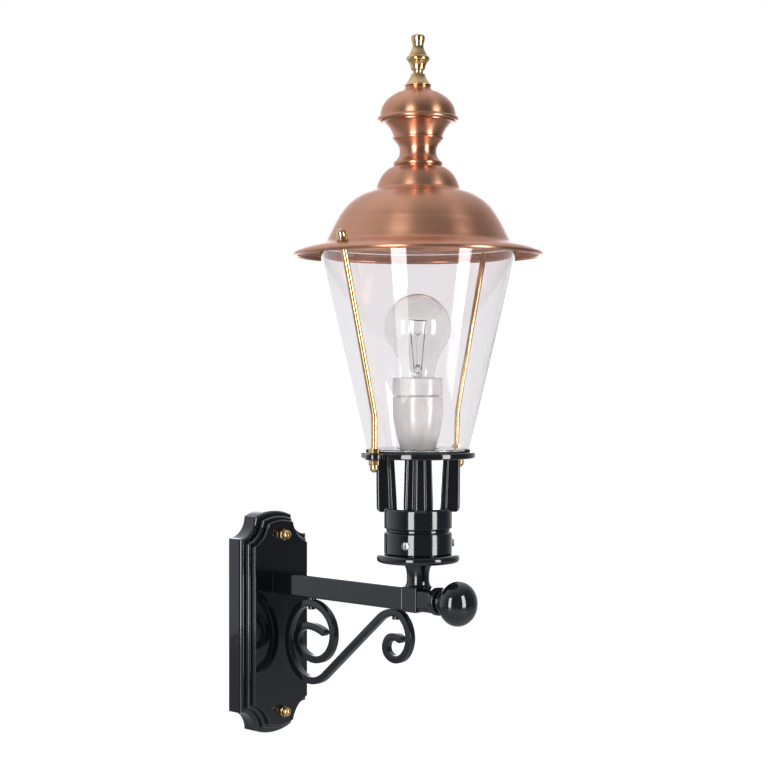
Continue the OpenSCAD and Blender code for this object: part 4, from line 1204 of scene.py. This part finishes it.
@dataclass
class Glazing(Trade):
    """Clear cone of glass between the cage and the hood."""

    foot_z: float = 174.3
    top_z: float = 356.3
    foot: float = 46.5
    top: float = 89.5
    thick: float = 2.5
    softened: float = 0.7

    def build(self) -> None:
        """Makes the glass with rounded rims."""
        f, t, low, high, s = self.foot, self.top, self.foot_z, self.top_z, self.softened
        slope = (t - f) / (high - low)
        w, k = self.thick / math.cos(math.atan(slope)), slope * s
        line = [(f - w + s, low), (f - s, low), (f + k, low + s), (t - k, high - s)]
        line += [(t - s, high), (t - w + s, high), (t - w - k, high - s), (f - w + k, low + s)]
        self.start("glass_cone").turn(line, steps=192).finish(Slot.GLASS, "glass_shade", sharp=20)


@dataclass
class TieRods(Trade):
    """Two brass rods from the ring to the brim, with their nuts."""

    shaft: float = 2.8
    thread: float = 2.4
    foot_r: float = 57.5
    ring_low: float = 167.3
    ring_high: float = 172.8
    foot_end: float = 8.0
    nut: float = 4.5
    flats: float = 9.0
    cap_height: float = 11.0
    bend_z: float = 206.3
    bend_r: float = 26.0
    lean: float = 14.7
    brim_r: float = 96.665
    brim_z: float = 355.583
    sheet: float = 1.2
    top_end: float = 7.0

    @property
    def run(self) -> float:
        """Length of the leaning part, from the bend's corner to the brim."""
        return math.hypot(self.brim_r - self.foot_r, self.brim_z - self.bend_z)

    def rod(self, side: int) -> None:
        """Makes one rod: threaded foot, upright, bend, leaning shaft, threaded end.

        Args:
            side: 1 for the right rod, -1 for the left one.
        """
        name = "rod_right" if side > 0 else "rod_left"
        piece = self.start(name + "_brass")
        inwards = Matrix(((-1, 0, 0, 0), (0, 0, 1, 0), (0, 1, 0, 0), (0, 0, 0, 1)))
        low, shoulder = self.ring_low - self.foot_end, self.ring_high + self.nut
        section, plane = circle(0, 0, self.thread), on_rod_side(side, 0.0) @ inwards
        bar = Bar(piece, section, plane, -self.foot_r, low, 90)
        bar.close()
        bar.straight(shoulder - low)
        bar.shoulder(self.shaft / self.thread)
        cut = self.bend_r * math.tan(math.radians(self.lean / 2))
        bar.straight(self.bend_z - cut - shoulder)
        bar.bend(self.bend_r, self.lean, 2.0)
        bar.straight(self.run - cut)
        bar.shoulder(self.thread / self.shaft)
        bar.straight(self.sheet + self.top_end)
        bar.close()
        piece.finish(Slot.BRASS, name)

    def build(self) -> None:
        """Makes both rods and all their nuts."""
        ring_nuts = self.start("ring_nuts_brass")
        foot_nuts = self.start("foot_nuts_brass")
        top_nuts = self.start("brim_nuts_brass")
        for side in (-1, 1):
            self.rod(side)
            spot = on_rod_side(side, self.foot_r)
            ring_nuts.hexagon(self.flats, self.ring_high, self.ring_high + self.nut, spot)
            hanging = spot @ moved(z=self.ring_low) @ turned(180, "X")
            foot_nuts.cap_nut(self.flats, self.cap_height, hanging)
            bend = spot @ moved(z=self.bend_z) @ turned(self.lean, "Y")
            top_nuts.cap_nut(self.flats, self.cap_height, bend @ moved(z=self.run + self.sheet))
        ring_nuts.finish(Slot.BRASS, "rod_ring_nuts")
        foot_nuts.finish(Slot.BRASS, "rod_foot_nuts")
        top_nuts.finish(Slot.BRASS, "rod_top_nuts")


@dataclass
class LampHolder(Trade):
    """Glazed porcelain holder in two parts, with the seam that the glass shows."""

    foot_z: float = 172.8
    height: float = 50.6
    ring_height: float = 16.0
    radius: float = 22.9
    foot: float = 15.2
    bore: float = 5.1
    socket: float = 14.3
    floor_up: float = 29.0
    seam: float = 3.5
    ring_bore: float = 17.0

    def build(self) -> None:
        """Makes the body and the ring."""
        z, r, top = self.foot_z, self.radius, self.foot_z + self.height
        inner, floor = r - self.seam, z + self.floor_up
        line = [(self.bore, z), (self.foot - 1, z)]
        line += curve((self.foot, z + 1), (self.foot + 3.5, z + 12), (r, z + 24), (r, top - 10), 20)
        line += arc(r - 0.5, top - 1.4, 0.5, 0, 80, 4) + [(inner, top - 0.9), (inner, top)]
        line += [(self.socket, top), (self.socket, floor), (self.bore, floor)]
        self.start("porcelain_body").turn(line).finish(Slot.PORCELAIN, "holder_body")
        high = top + self.ring_height
        line = [(self.ring_bore, top), (r - 0.8, top)] + arc(r - 0.6, top + 0.6, 0.6, -60, 0, 4)
        line += arc(r - 1.5, high - 1.5, 1.5, 0, 90, 7)
        line += arc(self.ring_bore + 1.0, high - 1.0, 1.0, 90, 180, 5)
        self.start("porcelain_ring").turn(line).finish(Slot.PORCELAIN, "holder_ring")


@dataclass
class Bulb(Trade):
    """Clear pear-shaped bulb with its glass mount."""

    cap_top: float = 232.6
    cap_inner: float = 11.4
    neck: float = 14.5
    holder_top: float = 239.4
    radius: float = 30.0
    middle_z: float = 284.9
    thick: float = 0.8

    def skin(self, inwards: float) -> Profile:
        """Outline of the glass.

        Args:
            inwards: Distance in from the outer face.

        Returns:
            Points as radius and height, from the cap to the crown on the axis.
        """
        r, n, z = self.radius - inwards, self.neck - inwards, self.middle_z
        start = self.cap_inner - inwards
        line = [(start, self.cap_top - 8), (start, self.cap_top)]
        x, y = r * math.cos(math.radians(35)), z - r * math.sin(math.radians(35))
        line += curve(
            (n, self.cap_top + 4), (n + 0.3, self.holder_top + 9), (x - 4.4, y - 6.3), (x, y), 16
        )
        crown = arc(0, z, r, -32, 90, 30)
        return line + crown[:-1] + [(0.0, crown[-1][1])]

    def mount_line(self) -> Profile:
        """Both faces of the flared glass mount, from the button's top to the flare's inside."""
        z, pinch, top = self.cap_top - 6.6, self.holder_top + 10, self.middle_z - 9
        line = [(9.6, z + 0.8), (9.6, z), (10.4, z), (10.4, z + 0.9)]
        line += curve((9.0, z + 2), (5.2, z + 5), (4.4, z + 9), (4.0, z + 14), 8)
        line += curve((3.8, z + 17), (3.4, pinch - 3), (2.6, pinch), (1.3, pinch + 1.5), 8)
        line += [(1.1, pinch + 3), (1.1, top - 2.6)]
        line += arc(0.6, top - 0.8, 1.9, -60, 60, 8) + [(1.0, top + 1), (0.0, top + 1)]
        inner = curve((0.0, pinch - 5), (2.0, pinch - 5), (3.0, z + 14), (3.4, z + 10), 8)
        inner += curve((3.7, z + 7), (4.6, z + 4), (8.0, z + 1.6), (9.0, z + 1.0), 6)
        return line[::-1] + inner[::-1]

    def build(self) -> None:
        """Makes the glass and its mount; the leads and the filament are the CAD model's."""
        thin = self.finishes.bulb_glass
        glass = self.start("bulb_glass_clear")
        glass.turn(self.skin(0.0)[::-1] + self.skin(self.thick), closed=False, steps=96)
        glass.finish(Slot.GLASS, "bulb_glass", material=thin, sharp=35)
        mount = self.start("bulb_mount_glass").turn(self.mount_line(), closed=False, steps=48)
        mount.finish(Slot.GLASS, "bulb_stem", material=thin)


@dataclass
class Hood(Trade):
    """Spun copper hood: brim, dome and upper tier, with a rolled edge and stiffening rings."""

    sheet: float = 1.2
    roll: float = 1.9
    brim: float = 112.5
    lip: float = 103.5
    inner: float = 84.0
    inner_z: float = 360.147
    rim_z: float = 349.59
    dome_top: float = 39.5
    dome_top_z: float = 407.647
    tier: float = 23.5
    tier_z: float = 428.647
    lean: float = 14.7
    brim_stops: tuple[float, ...] = (90.0, 95.0, 100.0)
    ringed: tuple[float, float] = (87.0, 102.0)
    rings: tuple[float, ...] = (88.5, 92.5, 96.5, 100.5)
    ring_height: float = 0.8

    def brim_at(self, r: float) -> Point:
        """A point on the brim's upper face."""
        return r, self.inner_z - math.tan(math.radians(self.lean)) * (r - self.inner)

    def brim_below(self, r: float) -> Point:
        """A point on the brim's under face, where the stiffening rings stand proud.

        Args:
            r: Radius of the point above it.

        Returns:
            Its radius and height.
        """
        near = min(abs(r - ring) for ring in self.rings)
        deep = self.sheet + (self.ring_height * math.cos(math.pi * near / 2) if near < 1 else 0)
        lean = math.radians(self.lean)
        return r - deep * math.sin(lean), self.brim_at(r)[1] - deep * math.cos(lean)

    def line(self) -> Profile:
        """Outer face of the hood, from the crown's rod to the rim."""
        t, z, n, b, at = self.tier, self.tier_z, self.inner, self.inner_z, self.brim_at
        c, d, edge = self.dome_top, self.dome_top_z, self.brim - self.roll
        line = [(3.2, z), (t - 1.0, z)]
        line += curve((t + 0.4, z - 0.1), (t + 9, z - 4), (c - 3.5, d + 9), (c - 1.6, d + 1.6), 20)
        line += curve(
            (c - 0.6, d + 0.4), (c + 0.2, d - 0.1), (c + 0.8, d - 0.3), (c + 1.6, d - 0.6), 4
        )
        line += curve((c + 3, d - 1.1), (c + 27, d - 8.0), (n - 12, b + 24), (n - 1, b + 2.2), 44)
        line += curve((n - 0.4, b + 1.3), (n, b + 0.5), (n + 0.6, b + 0.1), at(n + 1.6), 4)
        line += [at(r) for r in (*self.brim_stops, self.lip)]
        droop = (self.brim - 2.6, self.rim_z + 2.4)
        end = (edge, self.rim_z + self.sheet)
        return line + curve(at(self.lip + 1.2), at(self.lip + 4), droop, end, 10)

    def build(self) -> None:
        """Spins the sheet, gives it its thickness and rolls its edge."""
        face = self.line()
        under: Profile = []
        for i, (r, z) in enumerate(face):
            a, b = face[max(i - 1, 0)], face[min(i + 1, len(face) - 1)]
            dx, dz = b[0] - a[0], b[1] - a[1]
            size = math.hypot(dx, dz)
            under.append((r + self.sheet * dz / size, z - self.sheet * dx / size))
        first, last = (face.index(self.brim_at(self.brim_stops[i])) for i in (0, -1))
        start, end = self.ringed
        stops = [start + 0.25 * k for k in range(int((end - start) / 0.25) + 1)]
        under[first : last + 1] = [self.brim_below(r) for r in stops]
        piece = self.start("copper_hood").turn(face + under[::-1], steps=192)
        rolled = circle(self.brim - self.roll, self.rim_z + self.sheet / 2, self.roll)
        piece.turn(rolled, steps=192).finish(Slot.COPPER, "hood", sharp=40)


@dataclass
class Crown(Trade):
    """Neck, cap and brass finial, threaded on the rod that clamps the hood."""

    foot_z: float = 428.647
    neck_height: float = 41.3
    cap_height: float = 31.5
    foot: float = 22.3
    waist: float = 16.7
    bead: float = 23.0
    flange: float = 33.0
    rim: float = 36.75
    roll: float = 1.9
    collar: float = 11.7
    finial: float = 12.3

    def neck(self) -> None:
        """Makes the neck with its two beads."""
        z, top, a = self.foot_z, self.foot_z + self.neck_height, self.flange
        f, w, b = self.foot, self.waist, self.bead
        line = [(a, top), (a, top - 1.0)]
        line += curve(
            (a - 3, top - 1.5), (b + 4.0, top - 4), (b + 0.9, z + 33), (b - 0.7, z + 28.4), 16
        )
        line += arc(b - 1.5, z + 26, 1.5, 62, -62, 10)
        line += curve((b - 1.8, z + 23.6), (w + 1.4, z + 20), (w, z + 18), (w, z + 14.5), 14)
        line += curve((w, z + 13.8), (w + 0.2, z + 10), (f - 4.4, z + 8.4), (f - 2.2, z + 5.9), 12)
        line += arc(f - 2.4, z + 3, 2.4, 72, -60, 10) + [(f - 1.4, z)]
        line += [(f - 4.5, z), (f - 4.5, z + 5), (w - 1.2, z + 11), (w - 1.2, z + 17)]
        line += [(b - 3.2, z + 25), (b - 2.2, z + 29), (b + 2.6, top - 3), (a - 5, top)]
        self.start("copper_neck").turn(line).finish(Slot.COPPER, "crown_neck")

    def cap(self) -> None:
        """Makes the domed cap with its rolled rim."""
        z, c, r = self.foot_z + self.neck_height, self.collar, self.rim
        top = z + self.cap_height
        line = [(3.2, top), (c - 0.7, top)] + arc(c - 0.7, top - 0.7, 0.7, 70, 0, 3)
        line += curve((c, top - 1.7), (c + 1.2, top - 4), (c + 5, top - 5.2), (c + 8, top - 6.3), 8)
        line += curve(
            (c + 9.2, top - 7.0), (r - 7.2, z + 19.5), (r - 3, z + 14), (r - 2.4, z + 5.5), 24
        )
        line += [(r - 2.3, z + 4.4), (r - 1.9, z + 3.4), (r - 4.0, z + 2.6), (r - 4.0, z + 6.0)]
        line += curve(
            (r - 4.0, z + 8.0), (r - 4.8, z + 14), (r - 9.0, z + 18.6), (c + 8, top - 8.4), 14
        )
        line += [(c + 2, top - 5.6), (c - 1.4, top - 3.4), (c - 1.6, top - 1.4), (3.2, top - 1.4)]
        piece = self.start("copper_cap").turn(line)
        piece.turn(circle(r - self.roll, z + self.roll, self.roll))
        piece.finish(Slot.COPPER, "crown_cap")

    def top(self) -> None:
        """Makes the brass finial, turned from one bar."""
        z = self.foot_z + self.neck_height + self.cap_height
        f = self.finial
        line: Profile = [(0.0, 0.0), (f - 0.8, 0.0)] + arc(f - 0.8, 0.9, 0.8, -80, 70, 6)
        line += curve((f - 1.2, 2.3), (f - 3.2, 5.2), (7.4, 7), (6.7, 10.2), 12)
        line += [(6.6, 10.7), (5.4, 10.9)]
        line += curve((4.9, 11.3), (4.6, 12), (4.6, 13), (5.0, 14.2), 8)
        line += [(6.0, 14.6), (6.5, 15.2)]
        line += curve((6.6, 16), (7.0, 18.6), (7.7, 20.4), (9.0, 21.8), 10)
        line += arc(7.95, 24.9, 2.8, -60, 60, 12)
        line += curve((8.5, 27.8), (7.6, 30.5), (5.4, 33), (5.15, 36), 12)
        line += curve((5.15, 37.2), (5.3, 39.5), (6.0, 40.5), (6.3, 42.2), 8)
        line += arc(4.3, 44.3, 2.15, -20, 88, 9) + [(0.0, 46.5)]
        piece = self.start("brass_finial")
        piece.turn([(r, z + h) for r, h in line], closed=False, steps=96)
        piece.finish(Slot.BRASS, "finial")

    def build(self) -> None:
        """Makes the neck, the cap and the finial."""
        self.neck()
        self.cap()
        self.top()


@dataclass
class Studio:
    """Camera, two tall soft strips and a pale floor, in a studio that is dark behind the camera."""

    distance: float = 1490.0
    azimuth: float = -47.0
    beside: float = 30.6
    camera_z: float = 246.2
    focal_share: float = 2.1535
    rise_share: float = -0.01836
    floor_z: float = -420.0
    floor_half: float = 1.9
    floor_glow: float = 1.36
    glow_share: float = 0.75
    light_far: float = 1.3
    sky_share: float = 0.3
    lead: float = 33.0
    dim: float = 0.14
    bright: float = 0.95
    sweep: Point = (-0.35, 0.85)
    backdrop: float = 1.5
    backdrop_rise: float = 0.08
    backdrop_span: Point = (0.9, 0.985)
    ceiling: float = 0.35
    ceiling_span: Point = (0.45, 1.0)
    ambient: float = 0.7

    def camera(self) -> None:
        """Sets the camera level, at the photograph's angle and framing."""
        a = math.radians(self.azimuth)
        ahead = Vector((-math.sin(a), math.cos(a), 0))
        right = Vector((math.cos(a), math.sin(a), 0))
        spot = LAMP - ahead * self.distance - right * self.beside
        data = bpy.data.cameras.new("studio_camera")
        data.sensor_width = 36.0
        data.lens = data.sensor_width * self.focal_share
        data.shift_y = self.rise_share
        camera = put("studio_camera", data)
        camera.location = Vector((spot.x, spot.y, self.camera_z)) * MM
        camera.rotation_euler = (math.radians(90), 0, a)
        bpy.context.scene.camera = camera

    def strip(
        self, name: str, bearing: float, width: float, span: Point, radiance: float
    ) -> None:
        """Hangs one upright soft strip that faces the lantern.

        Args:
            name: Name of the light.
            bearing: Degrees to the right of the camera, as seen from the lantern.
            width: Width in metres.
            span: Heights of its lower and upper end in metres.
            radiance: Brightness of its face, where 1 is white.
        """
        a = math.radians(self.azimuth + bearing)
        far, middle = self.light_far, sum(span) / 2
        data = bpy.data.lights.new(name, "AREA")
        data.shape = "RECTANGLE"
        data.size, data.size_y = width, span[1] - span[0]
        data.energy = radiance * math.pi * data.size * data.size_y
        light = put(name, data)
        light.location = Vector((math.sin(a) * far, -math.cos(a) * far, middle)) + LAMP * MM
        light.rotation_euler = (math.radians(90), 0, a)

    def world(self) -> None:
        """Shows white to the camera, and to mirrors a studio that is dark behind the camera."""
        world = bpy.data.worlds.new("studio_world")
        bpy.context.scene.world = world
        world.use_nodes = True
        tree = world.node_tree
        tree.nodes.clear()
        place = add_node(tree, "ShaderNodeTexCoord").outputs["Generated"]

        def lobe(aim: tuple, span: Point, base: float, peak: float) -> Socket:
            """Light from one side, which grows as the cosine to the aim goes through the span."""
            near = calc(tree, "DOT_PRODUCT", place, aim, kind=VECTORS)
            inputs = {"Value": near, 1: span[0], 2: span[1], 3: base, 4: peak}
            smooth = {"interpolation_type": "SMOOTHSTEP"}
            return add_node(tree, "ShaderNodeMapRange", smooth, inputs).outputs["Result"]

        def glow(colour: str, strength: float | Socket) -> Socket:
            """Plain light of one colour."""
            inputs = {"Color": hex_colour(colour), "Strength": strength}
            return add_node(tree, "ShaderNodeBackground", inputs=inputs).outputs["Background"]

        a, b = math.radians(self.azimuth), math.radians(self.azimuth + self.lead)
        away = (-math.sin(b), math.cos(b), self.sky_share)
        ramp = lobe(away, self.sweep, self.dim, self.bright)
        # straight behind the light hangs a bright backdrop, seen only at a glancing angle
        ahead = (-math.sin(a), math.cos(a), self.backdrop_rise)
        screen = lobe(ahead, self.backdrop_span, 0.0, self.backdrop)
        above = lobe((0, 0, 1), self.ceiling_span, 0.0, self.ceiling)
        total = calc(tree, "ADD", ramp, calc(tree, "ADD", screen, above))
        glossy = add_node(tree, "ShaderNodeLightPath").outputs["Is Glossy Ray"]
        lit = mix(tree, glossy, glow("#f4f4f6", self.ambient), glow("#e9edf7", total))
        mixed = mix(tree, seen_straight(tree), lit, glow("#ffffff", 1.0))
        add_node(tree, "ShaderNodeOutputWorld", inputs={"Surface": mixed})

    def floor(self) -> None:
        """Lays a pale floor well below the light."""
        s = Surface("pale studio floor", "#a9aaae", {"Roughness": 0.9})
        part = calc(s.tree, "MULTIPLY", seen_straight(s.tree), self.glow_share)
        inputs = {"Color": hex_colour("#ffffff"), "Strength": self.floor_glow}
        glow = add_node(s.tree, "ShaderNodeEmission", inputs=inputs).outputs["Emission"]
        mixed = mix(s.tree, part, s.shader.outputs["BSDF"], glow)
        s.tree.links.new(mixed, s.out.inputs["Surface"])
        bm = bmesh.new()
        bmesh.ops.create_grid(bm, x_segments=1, y_segments=1, size=self.floor_half)
        data = bpy.data.meshes.new("studio_floor")
        bm.to_mesh(data)
        bm.free()
        data.materials.append(s.material)
        floor = put("studio_floor", data)
        floor.location = (0, 0, self.floor_z * MM)

    def build(self) -> None:
        """Sets the camera, the lights, the world and the floor."""
        self.camera()
        self.world()
        self.floor()
        self.strip("strip_left", -24.0, 0.42, (-0.22, 0.85), 10.0)
        self.strip("strip_left_foot", -24.0, 0.42, (-0.42, -0.22), 2.4)
        self.strip("strip_right", 56.0, 0.36, (-0.22, 0.8), 10.0)
        self.strip("strip_right_foot", 56.0, 0.42, (-0.32, -0.22), 2.4)
        bpy.context.scene.view_settings.view_transform = "Standard"


def main() -> None:
    """Dresses the wall light and sets up its studio."""
    logging.basicConfig(level=logging.INFO, format="%(name)s %(message)s")
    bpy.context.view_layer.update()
    Studio().build()
    finishes = Finishes()
    finishes.dress_frame()
    bracket = (WallPlate, ArmAndTee, ScrollBrace)
    lantern = (LanternCage, Glazing, TieRods, LampHolder, Bulb, Hood, Crown)
    for trade in bracket + lantern:
        trade(finishes).build()
        LOG.info("built %s", trade.__name__)


if __name__ == "__main__":
    main()
